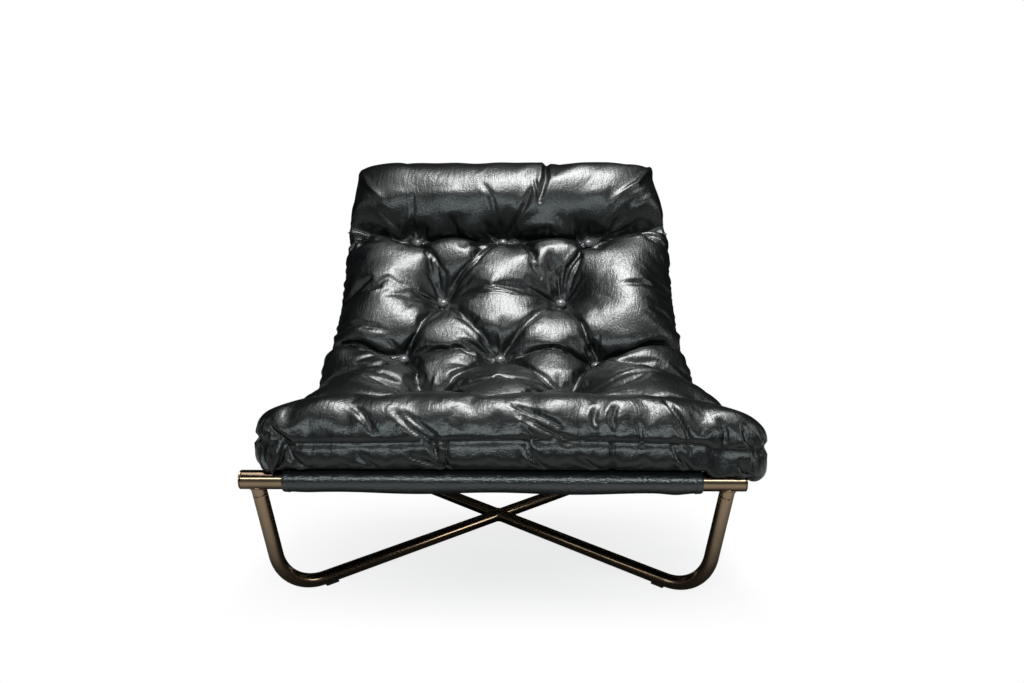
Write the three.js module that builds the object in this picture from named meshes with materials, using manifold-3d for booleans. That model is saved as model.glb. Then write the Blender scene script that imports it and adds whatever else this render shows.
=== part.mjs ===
// Sling lounge chair: a cross base of bent tube, a rail at the front and one at the head,
// a leather sling between the rails, and a button-tufted leather cushion on the sling.
// Millimetres, +Z up, the seat faces -Y. The origin is on the floor, under the middle.

import * as THREE from "three";
import { mergeVertices } from "three/addons/utils/BufferGeometryUtils.js";
import Module from "manifold-3d";

const wasm = await Module();
wasm.setup();

// Clearances
const SEAT_GAP = 0.3; // between faces that touch on the real chair
const SPIGOT_CLEARANCE = 0.5; // spigot in the leg tube, and cap plug in the rail, per side

// Frame tubes
const RAIL_DIAMETER = 32;
const RAIL_WALL = 2;
const LEG_DIAMETER = 25;
const LEG_WALL = 2;
const BEND_RADIUS = 90; // to the tube's axis
const FRONT_RAIL_LENGTH = 840; // over the end caps
const BACK_RAIL_LENGTH = 780;
const FRONT_RAIL_HEIGHT = 233.5; // axis above the floor
const FRONT_LEG_INSET = 26.5; // from the front rail's end to the leg's axis
const BACK_LEG_INSET = 25;
const FOOT_SPREAD = 730; // between the bends' corners, across the chair
const FOOT_DEPTH = 652; // between the bends' corners, front to back

// Rail fittings
const COLLAR_HEIGHT = 11; // stub's visible collar, below the rail
const SPIGOT_LENGTH = 30;
const CAP_THICKNESS = 2.5;
const CAP_CHAMFER = 1;
const CAP_PLUG_LENGTH = 12;
const GRUB_DIAMETER = 5;
const GRUB_LENGTH = 7;
const GRUB_SOCKET = 2.5; // across the hexagon's corners
const GRUB_SOCKET_DEPTH = 3;
const GRUB_DISTANCE = 15; // from the leg's end, along the leg

// Floor glides
const GLIDE_THICKNESS = 2; // under the tube
const GLIDE_LIP = 1.5; // up the tube's sides
const GLIDE_LENGTH = 24;
const GLIDE_WIDTH = 14;
const GLIDE_DISTANCE = 1; // from the bend's end, along the floor run

// Sling
const SLING_CLEARANCE = 5.5; // from the sling's side to the nearest leg
const SLING_LEATHER = 3;
const SLING_LENGTH = 1050; // between the two rails, along the sling
const SLING_FRONT_SLOPE = -15; // degrees above the horizontal, where it leaves the rail
const SLING_BACK_SLOPE = 47;
const SLING_TURN = 0.78; // share of its length over which it turns
const SLEEVE_FLAP = 62; // from the rail's axis to the sleeve's seam

// Cushion
const CUSHION_THICKNESS = 115;
const CUSHION_FRONT_WIDTH = 833;
const CUSHION_BACK_WIDTH = 793; // where the tufting draws the sides in
const CUSHION_FRONT_DRIFT = 26; // how far it lies to the right of the chair's middle
const CUSHION_BACK_DRIFT = 13;
const WAIST_DISTANCE = 380; // from the front edge to where the back's width starts
const CUSHION_FRONT_OVERHANG = 35; // past the sling's front end
const CUSHION_HEAD_OVERHANG = 87;
const CUSHION_LEATHER = 2;
const SEAM_HEIGHT = 55; // side seam above the sling
const END_ROUNDING = 70;
const SIDE_ROUNDING = 46;
const ROUNDING_FULLNESS = 2.5; // power of the edge's curve: 2 is an ellipse, more is fuller
const CROWN_FALL = 10; // the top's fall from the middle to the sides
const BORDER_SEAM_LEFT = 74; // front border's upright seams, from the middle
const BORDER_SEAM_RIGHT = 194;

// Tufting: rows of buttons, measured along the sling from its front end
const HEAD_ROW = 906;
const UPPER_ROW = 720;
const MIDDLE_ROW = 512;
const LOWER_ROW = 328;
const FRONT_ROW = 152;
const WIDE_ROW_REACH = 215; // from the middle to a side button, in a row of three
const NARROW_ROW_REACH = 141; // from the middle to a button, in a row of two
const TUFT_HEIGHT = 44; // of the cover above the sling, under a button
const TUFT_REACH = 62;
const HEAD_CREASE = 30; // depth of the crease along the head row
const ROW_CREASE = 9; // along the other rows
const CREASE_REACH = 34;
const TIE_RECESS = 8; // depth of the underside's dimple at a tie
const BUTTON_DIAMETER = 22;
const BUTTON_DOME = 6;
const BUTTON_SHANK = 3; // radius of the button's small lower end
const TWINE_DIAMETER = 4;
const TOGGLE_DIAMETER = 18;
const TOGGLE_THICKNESS = 3;

// Facets
const TUBE_SEGMENTS = 16;
const RAIL_SEGMENTS = 24;
const FINE_SEGMENTS = 32;
const SMALL_SEGMENTS = 12;
const TWINE_SEGMENTS = 6;
const BEND_STEPS = 7;
const PITCH_STEPS = 3; // cushion stations between two rows of buttons
const COLUMN_SPACING = 75; // widest space between the cushion's columns
const SLEEVE_STEPS = 14;

const RAIL_RADIUS = RAIL_DIAMETER / 2;
const LEG_RADIUS = LEG_DIAMETER / 2;
const FRONT_LEG_SPREAD = FRONT_RAIL_LENGTH - 2 * FRONT_LEG_INSET; // between the leg axes
const BACK_LEG_SPREAD = BACK_RAIL_LENGTH - 2 * BACK_LEG_INSET;
const RUN_HEIGHT = GLIDE_THICKNESS + LEG_RADIUS; // axis of the floor runs
const SLEEVE_INNER = RAIL_RADIUS + SEAT_GAP;
const SLEEVE_OUTER = SLEEVE_INNER + SLING_LEATHER;
const SLING_WIDTH = Math.min(FRONT_LEG_SPREAD, BACK_LEG_SPREAD) - LEG_DIAMETER - 2 * SLING_CLEARANCE;

const WIDE_ROW = [-WIDE_ROW_REACH, 0, WIDE_ROW_REACH];
const NARROW_ROW = [-NARROW_ROW_REACH, NARROW_ROW_REACH];
const TUFT_ROWS = [
  { name: "head", along: HEAD_ROW, across: WIDE_ROW },
  { name: "upper", along: UPPER_ROW, across: NARROW_ROW },
  { name: "middle", along: MIDDLE_ROW, across: WIDE_ROW },
  { name: "lower", along: LOWER_ROW, across: NARROW_ROW },
  { name: "front", along: FRONT_ROW, across: WIDE_ROW },
];

const bronze = new THREE.MeshStandardMaterial({ color: 0x5d5145, roughness: 0.28, metalness: 1 });
const steel = new THREE.MeshStandardMaterial({ color: 0x2c2c2e, roughness: 0.45, metalness: 1 });
const plastic = new THREE.MeshStandardMaterial({ color: 0x141414, roughness: 0.6, metalness: 0 });
const slingLeather = new THREE.MeshStandardMaterial({ color: 0x1d2224, roughness: 0.5, metalness: 0 });
const cushionLeather = new THREE.MeshStandardMaterial({ color: 0x14181a, roughness: 0.35, metalness: 0 });
const wadding = new THREE.MeshStandardMaterial({ color: 0xe4dccb, roughness: 0.95, metalness: 0 });
const twine = new THREE.MeshStandardMaterial({ color: 0x3a342c, roughness: 0.9, metalness: 0 });

const chair = new THREE.Group();

// Solids for cuts

function toSolid(geometry) {
  const bare = geometry.clone();
  bare.deleteAttribute("normal");
  bare.deleteAttribute("uv");
  const merged = mergeVertices(bare);
  return new wasm.Manifold(
    new wasm.Mesh({
      numProp: 3,
      vertProperties: merged.attributes.position.array,
      triVerts: new Uint32Array(merged.index.array),
    }),
  );
}

function toGeometry(solid) {
  const mesh = solid.getMesh();
  const geometry = new THREE.BufferGeometry();
  geometry.setAttribute("position", new THREE.BufferAttribute(mesh.vertProperties, 3));
  geometry.setIndex(new THREE.BufferAttribute(mesh.triVerts, 1));
  return geometry;
}

function cut(geometry, ...tools) {
  return toGeometry(tools.reduce((solid, tool) => solid.subtract(toSolid(tool)), toSolid(geometry)));
}

function addPiece(name, geometry, material) {
  const mesh = new THREE.Mesh(geometry, material);
  mesh.name = name;
  chair.add(mesh);
  return mesh;
}

// A turned piece about an axis: profile points are [distance along the axis, radius].
function turned(profile, segments, from, direction) {
  const points = profile.map(([along, radius]) => new THREE.Vector2(radius, along));
  const geometry = new THREE.LatheGeometry(points, segments);
  const turn = new THREE.Quaternion().setFromUnitVectors(new THREE.Vector3(0, 1, 0), direction);
  return geometry.applyQuaternion(turn).translate(from.x, from.y, from.z);
}

function rod(from, direction, start, end, radius, segments) {
  const profile = [
    [start, 0],
    [start, radius],
    [end, radius],
    [end, 0],
  ];
  return turned(profile, segments, from, direction);
}

function ringShape(outer, inner) {
  const ring = new THREE.Shape().absarc(0, 0, outer, 0, Math.PI * 2);
  ring.holes.push(new THREE.Path().absarc(0, 0, inner, 0, Math.PI * 2, true));
  return ring;
}

// A tube's route through corner points, each rounded to the bend radius. Its stations
// are the ends of the straight runs and even steps round each bend.
class TubeRoute extends THREE.Curve {
  constructor(corners, radius) {
    super();
    const directions = corners.slice(1).map((c, i) => c.clone().sub(corners[i]).normalize());
    this.stations = [{ point: corners[0], tangent: directions[0] }];
    for (let i = 1; i < corners.length - 1; i++)
      this.addBend(corners[i], directions[i - 1], directions[i], radius);
    this.stations.push({ point: corners.at(-1), tangent: directions.at(-1) });
  }

  addBend(corner, before, after, radius) {
    const angle = before.angleTo(after);
    const start = corner.clone().addScaledVector(before, -radius * Math.tan(angle / 2));
    const inward = after.clone().addScaledVector(before, -after.dot(before)).normalize();
    const centre = start.clone().addScaledVector(inward, radius);
    for (let k = 0; k <= BEND_STEPS; k++) {
      const turn = (angle * k) / BEND_STEPS;
      const spoke = inward.clone().multiplyScalar(-Math.cos(turn)).addScaledVector(before, Math.sin(turn));
      const tangent = before.clone().multiplyScalar(Math.cos(turn)).addScaledVector(inward, Math.sin(turn));
      this.stations.push({ point: centre.clone().addScaledVector(spoke, radius), tangent });
    }
  }

  station(u) {
    return this.stations[Math.round(u * (this.stations.length - 1))];
  }

  getPoint(u) {
    return this.station(u).point.clone();
  }

  getPointAt(u) {
    return this.getPoint(u);
  }

  getTangentAt(u) {
    return this.station(u).tangent.clone();
  }
}

function bentTube(corners) {
  const route = new TubeRoute(corners, BEND_RADIUS);
  return new THREE.ExtrudeGeometry(ringShape(LEG_RADIUS, LEG_RADIUS - LEG_WALL), {
    steps: route.stations.length - 1,
    curveSegments: TUBE_SEGMENTS / 2,
    extrudePath: route,
  });
}

// The sling's line in the side view: its upper face, from the front rail to the back rail

function slingSlope(along) {
  const t = THREE.MathUtils.smoothstep(along, 0, SLING_LENGTH * SLING_TURN);
  return THREE.MathUtils.degToRad(THREE.MathUtils.lerp(SLING_FRONT_SLOPE, SLING_BACK_SLOPE, t));
}

function slingNormal(along) {
  const slope = slingSlope(along);
  return new THREE.Vector3(0, -Math.sin(slope), Math.cos(slope));
}

function slingTangent(along) {
  const slope = slingSlope(along);
  return new THREE.Vector3(0, Math.cos(slope), Math.sin(slope));
}

const FRONT_RAIL = new THREE.Vector3(0, 0, FRONT_RAIL_HEIGHT);
const SLING_START = FRONT_RAIL.clone().addScaledVector(slingNormal(0), SLEEVE_OUTER);

// Past either end the line runs on straight.
function slingPoint(along) {
  const STEPS = 80;
  const inside = THREE.MathUtils.clamp(along, 0, SLING_LENGTH);
  const point = SLING_START.clone();
  for (let k = 0; k < STEPS; k++)
    point.addScaledVector(slingTangent((inside * (k + 0.5)) / STEPS), inside / STEPS);
  return point.addScaledVector(slingTangent(inside), along - inside);
}

// The point at a height above the sling, and at a distance across it
function overSling(along, across, height) {
  const point = slingPoint(along).addScaledVector(slingNormal(along), height);
  point.x = across;
  return point;
}

const BACK_RAIL = slingPoint(SLING_LENGTH).addScaledVector(slingNormal(SLING_LENGTH), -SLEEVE_OUTER);

// Frame

// The front legs stay in the upright plane of the floor run that each one goes into.
const FRONT_CORNER_Y = (FOOT_DEPTH / 2) * (FRONT_LEG_SPREAD / FOOT_SPREAD - 1);
const CROSSING = new THREE.Vector3(0, FRONT_CORNER_Y + FOOT_DEPTH / 2, RUN_HEIGHT);

// A leg from its rail's axis down to the corner of its bend. side is -1 or 1.
function frontLeg(side) {
  const top = new THREE.Vector3((side * FRONT_LEG_SPREAD) / 2, FRONT_RAIL.y, FRONT_RAIL.z);
  const corner = new THREE.Vector3((side * FOOT_SPREAD) / 2, FRONT_CORNER_Y, RUN_HEIGHT);
  return { name: side < 0 ? "front_left" : "front_right", top, corner };
}

function backLeg(side) {
  const top = new THREE.Vector3((side * BACK_LEG_SPREAD) / 2, BACK_RAIL.y, BACK_RAIL.z);
  const corner = new THREE.Vector3((side * FOOT_SPREAD) / 2, FRONT_CORNER_Y + FOOT_DEPTH, RUN_HEIGHT);
  return { name: side < 0 ? "back_left" : "back_right", top, corner };
}

const legs = [frontLeg(-1), frontLeg(1), backLeg(-1), backLeg(1)];
for (const leg of legs) {
  leg.down = leg.corner.clone().sub(leg.top).normalize();
  leg.end = leg.top.clone().addScaledVector(leg.down, RAIL_RADIUS + COLLAR_HEIGHT + SEAT_GAP);
  leg.grubPoint = leg.end.clone().addScaledVector(leg.down, GRUB_DISTANCE);
  // The grub screw faces the space under the seat.
  const inward = CROSSING.clone().sub(leg.corner);
  leg.grubDirection = inward.addScaledVector(leg.down, -inward.dot(leg.down)).normalize();
}

function grubHole(leg) {
  const radius = GRUB_DIAMETER / 2 + SEAT_GAP;
  const depth = LEG_RADIUS - GRUB_LENGTH - 2 * SEAT_GAP;
  return rod(leg.grubPoint, leg.grubDirection, depth, LEG_DIAMETER, radius, SMALL_SEGMENTS);
}

function railTube(length, axis) {
  const tubeLength = length - 2 * (CAP_THICKNESS + SEAT_GAP);
  return new THREE.ExtrudeGeometry(ringShape(RAIL_RADIUS, RAIL_RADIUS - RAIL_WALL), {
    depth: tubeLength,
    steps: 1,
    curveSegments: RAIL_SEGMENTS / 2,
    bevelEnabled: false,
  })
    .translate(0, 0, -tubeLength / 2)
    .rotateY(Math.PI / 2)
    .translate(axis.x, axis.y, axis.z);
}

// The cap's disc is as wide as the rail, and its plug goes into the bore.
function railCap(length, axis, side) {
  const outward = new THREE.Vector3(side, 0, 0);
  const end = axis.clone().addScaledVector(outward, length / 2);
  const plug = RAIL_RADIUS - RAIL_WALL - SPIGOT_CLEARANCE;
  const profile = [
    [-CAP_THICKNESS - CAP_PLUG_LENGTH, 0],
    [-CAP_THICKNESS - CAP_PLUG_LENGTH, plug],
    [-CAP_THICKNESS, plug],
    [-CAP_THICKNESS, RAIL_RADIUS],
    [-CAP_CHAMFER, RAIL_RADIUS],
    [0, RAIL_RADIUS - CAP_CHAMFER],
    [0, 0],
  ];
  return turned(profile, RAIL_SEGMENTS, end, outward);
}

// The stub's collar is coped to the rail, and its spigot goes into the leg.
function railStub(leg) {
  const spigot = LEG_RADIUS - LEG_WALL - SPIGOT_CLEARANCE;
  const shoulder = RAIL_RADIUS + COLLAR_HEIGHT;
  const profile = [
    [0, 0],
    [0, LEG_RADIUS],
    [shoulder, LEG_RADIUS],
    [shoulder, spigot],
    [shoulder + SPIGOT_LENGTH, spigot],
    [shoulder + SPIGOT_LENGTH, 0],
  ];
  const blank = turned(profile, TUBE_SEGMENTS, leg.top, leg.down);
  const across = new THREE.Vector3(1, 0, 0);
  const rail = rod(leg.top, across, -RAIL_DIAMETER, RAIL_DIAMETER, RAIL_RADIUS + SEAT_GAP, FINE_SEGMENTS);
  return cut(blank, rail, grubHole(leg));
}

function grubScrew(leg) {
  const outer = LEG_RADIUS - SEAT_GAP;
  const inner = outer - GRUB_LENGTH;
  const body = rod(leg.grubPoint, leg.grubDirection, inner, outer, GRUB_DIAMETER / 2, SMALL_SEGMENTS);
  const socketStart = outer - GRUB_SOCKET_DEPTH;
  return cut(body, rod(leg.grubPoint, leg.grubDirection, socketStart, LEG_DIAMETER, GRUB_SOCKET / 2, 6));
}

// A pad under a floor run, hollowed to the tube
function floorGlide(leg) {
  const run = CROSSING.clone().sub(leg.corner).normalize();
  const bendLength = BEND_RADIUS * Math.tan(leg.down.angleTo(run) / 2);
  const distance = bendLength + GLIDE_DISTANCE + GLIDE_LENGTH / 2;
  const place = leg.corner.clone().addScaledVector(run, distance);
  const height = GLIDE_THICKNESS + GLIDE_LIP;
  const pad = new THREE.BoxGeometry(GLIDE_LENGTH, GLIDE_WIDTH, height)
    .rotateZ(Math.atan2(run.y, run.x))
    .translate(place.x, place.y, height / 2);
  return cut(pad, rod(place, run, -GLIDE_LENGTH, GLIDE_LENGTH, LEG_RADIUS + SEAT_GAP, FINE_SEGMENTS));
}

function addFrame() {
  const [frontLeft, frontRight, backLeft, backRight] = legs;
  const throughCorners = [frontLeft.end, frontLeft.corner, backRight.corner, backRight.end];
  const through = cut(bentTube(throughCorners), grubHole(frontLeft), grubHole(backRight));
  addPiece("base_tube_through", through, bronze);

  // The other diagonal is two halves, coped and welded to the through tube.
  const throughRun = backRight.corner.clone().sub(frontLeft.corner).normalize();
  const reach = 2 * LEG_DIAMETER;
  const cope = rod(CROSSING, throughRun, -reach, reach, LEG_RADIUS + SEAT_GAP, FINE_SEGMENTS);
  for (const [name, leg] of [["front", frontRight], ["back", backLeft]]) {
    const half = bentTube([leg.end, leg.corner, CROSSING]);
    addPiece(`base_tube_${name}_half`, cut(half, cope, grubHole(leg)), bronze);
  }

  addPiece("front_rail", railTube(FRONT_RAIL_LENGTH, FRONT_RAIL), bronze);
  addPiece("back_rail", railTube(BACK_RAIL_LENGTH, BACK_RAIL), bronze);
  for (const side of [-1, 1]) {
    const hand = side < 0 ? "left" : "right";
    addPiece(`front_rail_cap_${hand}`, railCap(FRONT_RAIL_LENGTH, FRONT_RAIL, side), bronze);
    addPiece(`back_rail_cap_${hand}`, railCap(BACK_RAIL_LENGTH, BACK_RAIL, side), bronze);
  }
  for (const leg of legs) {
    addPiece(`rail_stub_${leg.name}`, railStub(leg), bronze);
    addPiece(`grub_screw_${leg.name}`, grubScrew(leg), steel);
    addPiece(`floor_glide_${leg.name}`, floorGlide(leg), plastic);
  }
}

// Cushion layout

const FRONT_EDGE = -CUSHION_FRONT_OVERHANG;
const HEAD_EDGE = SLING_LENGTH + CUSHION_HEAD_OVERHANG;
// Shares of a rounding's width at which the rounded edge has its stations
const ROUNDING_SHARES = [0, 30, 60, 90].map(
  (angle) => 1 - Math.cos(THREE.MathUtils.degToRad(angle)) ** (2 / ROUNDING_FULLNESS),
);

// Share of the change from the front's width to the back's
function drawnIn(along) {
  return THREE.MathUtils.smoothstep(along, FRONT_EDGE, FRONT_EDGE + WAIST_DISTANCE);
}

function halfWidth(along) {
  return THREE.MathUtils.lerp(CUSHION_FRONT_WIDTH, CUSHION_BACK_WIDTH, drawnIn(along)) / 2;
}

function drift(along) {
  return THREE.MathUtils.lerp(CUSHION_FRONT_DRIFT, CUSHION_BACK_DRIFT, drawnIn(along));
}

function steps(from, to, count) {
  return Array.from({ length: count }, (_, k) => from + ((to - from) * (k + 1)) / count);
}

// Stations along the cushion, from the front edge to the head, with one on each row of buttons
function alongStations() {
  const stations = ROUNDING_SHARES.map((share) => FRONT_EDGE + share * END_ROUNDING);
  const rows = TUFT_ROWS.map((row) => row.along).reverse();
  stations.push(...steps(stations.at(-1), rows[0], 2));
  for (let k = 1; k < rows.length; k++) stations.push(...steps(rows[k - 1], rows[k], PITCH_STEPS));
  const headRounding = ROUNDING_SHARES.map((share) => HEAD_EDGE - share * END_ROUNDING).reverse();
  stations.push(...steps(rows.at(-1), headRounding[0], 3), ...headRounding.slice(1));
  return stations;
}

// Columns from the middle to one edge, with one on each button's distance from the middle
function columnsTo(edge) {
  const columns = [...new Set(TUFT_ROWS.flatMap((row) => row.across.map(Math.abs)))].sort((a, b) => a - b);
  const stations = [columns[0]];
  for (let k = 1; k < columns.length; k++) {
    const count = Math.ceil((columns[k] - columns[k - 1]) / COLUMN_SPACING);
    stations.push(...steps(columns[k - 1], columns[k], count));
  }
  const rounding = ROUNDING_SHARES.map((share) => edge - share * SIDE_ROUNDING).reverse();
  stations.push(...steps(columns.at(-1), rounding[0], 2), ...rounding.slice(1));
  return stations;
}

function acrossStations(along) {
  const left = columnsTo(halfWidth(along) - drift(along));
  const right = columnsTo(halfWidth(along) + drift(along));
  return [...left.slice(1).map((x) => -x).reverse(), ...right];
}

// How far an edge has risen at a distance from it, from 0 at the seam to 1
function rise(distance, width) {
  const rest = 1 - THREE.MathUtils.clamp(distance / width, 0, 1);
  return (1 - rest ** ROUNDING_FULLNESS) ** (1 / ROUNDING_FULLNESS);
}

function edgeRise(along, across) {
  const endDistance = Math.min(along - FRONT_EDGE, HEAD_EDGE - along);
  const sideDistance = halfWidth(along) - Math.abs(across - drift(along));
  return rise(endDistance, END_ROUNDING) * rise(sideDistance, SIDE_ROUNDING);
}

function nearestTuft(along, across) {
  const spans = TUFT_ROWS.flatMap((row) => row.across.map((x) => Math.hypot(along - row.along, across - x)));
  return Math.min(...spans);
}

function creaseDepth(along) {
  const depths = TUFT_ROWS.map((row, k) => {
    const depth = k === 0 ? HEAD_CREASE : ROW_CREASE;
    return depth * Math.exp(-(((along - row.along) / CREASE_REACH) ** 2));
  });
  return Math.max(...depths);
}

// Height of the cover's outside over the sling: the crown, less the tufts and creases
function topHeight(along, across) {
  const share = (across - drift(along)) / halfWidth(along);
  const crown = CUSHION_THICKNESS - CROWN_FALL * share * share - creaseDepth(along);
  const pull = Math.exp(-((nearestTuft(along, across) / TUFT_REACH) ** 2));
  const tufted = THREE.MathUtils.lerp(crown, TUFT_HEIGHT, pull);
  return SEAM_HEIGHT + (tufted - SEAM_HEIGHT) * edgeRise(along, across);
}

function bottomHeight(along, across) {
  const dimple = TIE_RECESS * Math.exp(-((nearestTuft(along, across) / TUFT_REACH) ** 2));
  return SEAM_HEIGHT + (SEAT_GAP + dimple - SEAM_HEIGHT) * edgeRise(along, across);
}

// A layer of the cushion lies a distance inside its outside. Each is a grid of points,
// with a row for each station along the cushion. The two faces stop short of the seam.
function layer(heightAt, inwardSign, inset, stations, columnsAt) {
  const length = HEAD_EDGE - FRONT_EDGE;
  return stations.map((along) => {
    const shrunk = FRONT_EDGE + inset + ((along - FRONT_EDGE) * (length - 2 * inset)) / length;
    const narrowing = 1 - inset / halfWidth(along);
    return columnsAt(along).map((across) => {
      const inward = inset * edgeRise(along, across) - SEAT_GAP / 2;
      const height = heightAt(along, across) + inwardSign * inward;
      return overSling(shrunk, THREE.MathUtils.lerp(drift(along), across, narrowing), height);
    });
  });
}

function topLayer(inset, stations = alongStations(), columnsAt = acrossStations) {
  return layer(topHeight, -1, inset, stations, columnsAt);
}

function bottomLayer(inset, stations = alongStations(), columnsAt = acrossStations) {
  return layer(bottomHeight, 1, inset, stations, columnsAt);
}

// Closed skin between two grids of one size: the upper one faces up, the lower one down.
function skinBetween(upper, lower) {
  const rows = upper.length;
  const columns = upper[0].length;
  const positions = [...upper.flat(), ...lower.flat()].flatMap((p) => p.toArray());
  const up = (i, j) => i * columns + j;
  const down = (i, j) => rows * columns + up(i, j);
  const index = [];
  const quad = (a, b, c, d) => index.push(a, b, c, a, c, d);
  for (let i = 0; i < rows - 1; i++)
    for (let j = 0; j < columns - 1; j++) {
      quad(up(i, j), up(i, j + 1), up(i + 1, j + 1), up(i + 1, j));
      quad(down(i, j), down(i + 1, j), down(i + 1, j + 1), down(i, j + 1));
    }
  for (let i = 0; i < rows - 1; i++) {
    quad(up(i, 0), up(i + 1, 0), down(i + 1, 0), down(i, 0));
    quad(up(i + 1, columns - 1), up(i, columns - 1), down(i, columns - 1), down(i + 1, columns - 1));
  }
  for (let j = 0; j < columns - 1; j++) {
    quad(up(0, j + 1), up(0, j), down(0, j), down(0, j + 1));
    quad(up(rows - 1, j), up(rows - 1, j + 1), down(rows - 1, j + 1), down(rows - 1, j));
  }
  const geometry = new THREE.BufferGeometry();
  geometry.setAttribute("position", new THREE.Float32BufferAttribute(positions, 3));
  geometry.setIndex(index);
  return geometry;
}

// Tufts

const tufts = TUFT_ROWS.flatMap((row) =>
  row.across.map((across) => {
    const place = across === 0 ? "middle" : across < 0 ? "left" : "right";
    return {
      name: `${row.name}_${place}`,
      along: row.along,
      across,
      foot: overSling(row.along, across, 0),
      axis: slingNormal(row.along),
    };
  }),
);

function twineHole(tuft) {
  const radius = TWINE_DIAMETER / 2 + SEAT_GAP;
  return rod(tuft.foot, tuft.axis, 0, CUSHION_THICKNESS, radius, TWINE_SEGMENTS);
}

function nearestIndex(values, target) {
  const spans = values.map((value) => Math.abs(value - target));
  return spans.indexOf(Math.min(...spans));
}

// Steepest facet round a tuft's point of a grid, which the button or the toggle has to clear
function pitSlope(tuft, grid) {
  const i = nearestIndex(alongStations(), tuft.along);
  const j = nearestIndex(acrossStations(tuft.along), tuft.across);
  const ring = [
    grid[i + 1][j],
    grid[i + 1][j + 1],
    grid[i][j + 1],
    grid[i - 1][j + 1],
    grid[i - 1][j],
    grid[i - 1][j - 1],
    grid[i][j - 1],
    grid[i + 1][j - 1],
  ];
  const slopes = [1, 2].flatMap((skip) =>
    ring.map((point, k) => {
      const facet = new THREE.Triangle(grid[i][j], point, ring[(k + skip) % ring.length]);
      const normal = facet.getNormal(new THREE.Vector3());
      return Math.tan(Math.acos(Math.min(1, Math.abs(normal.dot(tuft.axis)))));
    }),
  );
  return Math.max(...slopes);
}

// A covered button: a cone that seats in the tuft, and a dome on top
function button(tuft, grid) {
  const radius = BUTTON_DIAMETER / 2;
  const slope = pitSlope(tuft, grid);
  const seat = topHeight(tuft.along, tuft.across) + SEAT_GAP * 2 + slope * BUTTON_SHANK;
  const rim = seat + slope * (radius - BUTTON_SHANK);
  const profile = [
    [seat, 0],
    [seat, BUTTON_SHANK],
    [rim, radius],
    [rim + BUTTON_DOME * 0.45, radius * 0.93],
    [rim + BUTTON_DOME * 0.82, radius * 0.62],
    [rim + BUTTON_DOME, 0],
  ];
  tuft.twineTop = seat - SEAT_GAP;
  return turned(profile, SMALL_SEGMENTS, tuft.foot, tuft.axis);
}

// The twine of a tuft, with the toggle that holds it under the cushion
function tie(tuft, grid) {
  const rimFall = (pitSlope(tuft, grid) * TOGGLE_DIAMETER) / 2;
  const top = bottomHeight(tuft.along, tuft.across) - rimFall - 2 * SEAT_GAP;
  const profile = [
    [top - TOGGLE_THICKNESS, 0],
    [top - TOGGLE_THICKNESS, TOGGLE_DIAMETER / 2],
    [top, TOGGLE_DIAMETER / 2],
    [top, TWINE_DIAMETER / 2],
    [tuft.twineTop, TWINE_DIAMETER / 2],
    [tuft.twineTop, 0],
  ];
  return turned(profile, TWINE_SEGMENTS, tuft.foot, tuft.axis);
}

function addCushion() {
  const holes = tufts.map(twineHole);
  const core = CUSHION_LEATHER + SEAT_GAP;
  const outside = topLayer(0);
  const underside = bottomLayer(0);
  const topCover = skinBetween(outside, topLayer(CUSHION_LEATHER));
  addPiece("cushion_top_cover", cut(topCover, ...holes), cushionLeather);
  addPiece("cushion_filling", cut(skinBetween(topLayer(core), bottomLayer(core)), ...holes), wadding);

  // The underside's first stations, to the end of the rounding, are the front border.
  const borderCount = ROUNDING_SHARES.length;
  const borderStations = alongStations().slice(0, borderCount);
  const bottomStations = alongStations().slice(borderCount - 1);
  const bottomInside = bottomLayer(CUSHION_LEATHER, bottomStations);
  const bottomCover = skinBetween(bottomInside, bottomLayer(0, bottomStations));
  addPiece("cushion_bottom_cover", cut(bottomCover, ...holes), cushionLeather);
  borderStations[borderCount - 1] -= SEAT_GAP;
  addBorder(borderStations);

  for (const tuft of tufts) {
    addPiece(`tuft_button_${tuft.name}`, button(tuft, outside), cushionLeather);
    addPiece(`tuft_tie_${tuft.name}`, tie(tuft, underside), twine);
  }
}

// Lower front of the cushion, in three panels that stop short of each other
function addBorder(stations) {
  const ends = [-CUSHION_FRONT_WIDTH, -BORDER_SEAM_LEFT, BORDER_SEAM_RIGHT, CUSHION_FRONT_WIDTH];
  ["left", "middle", "right"].forEach((name, k) => {
    const from = ends[k] + SEAT_GAP / 2;
    const to = ends[k + 1] - SEAT_GAP / 2;
    const columns = (along) => {
      const clamped = acrossStations(along).map((x) => THREE.MathUtils.clamp(x, from, to));
      return [...new Set(clamped)];
    };
    const inside = bottomLayer(CUSHION_LEATHER, stations, columns);
    const panel = skinBetween(inside, bottomLayer(0, stations, columns));
    addPiece(`cushion_front_border_${name}`, panel, cushionLeather);
  });
}

// Sling

const flat = (point) => new THREE.Vector2(point.y, point.z);

// Where a line from a point touches a circle. turn is 1 or -1, for the side it touches on.
function tangentPoint(from, centre, radius, turn) {
  const reach = from.clone().sub(centre);
  const angle = reach.angle() + turn * Math.acos(radius / reach.length());
  return new THREE.Vector2(Math.cos(angle), Math.sin(angle)).multiplyScalar(radius).add(centre);
}

// Points round a rail from one point to another. turn is 1 for counter-clockwise.
function aroundRail(from, to, centre, radius, turn) {
  const start = from.clone().sub(centre).angle();
  const end = to.clone().sub(centre).angle();
  const sweep = THREE.MathUtils.euclideanModulo(turn * (end - start), Math.PI * 2) * turn;
  return steps(start, start + sweep, SLEEVE_STEPS).map((a) =>
    new THREE.Vector2(Math.cos(a), Math.sin(a)).multiplyScalar(radius).add(centre),
  );
}

function underSling(along) {
  return flat(overSling(along, 0, -SLING_LEATHER));
}

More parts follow.
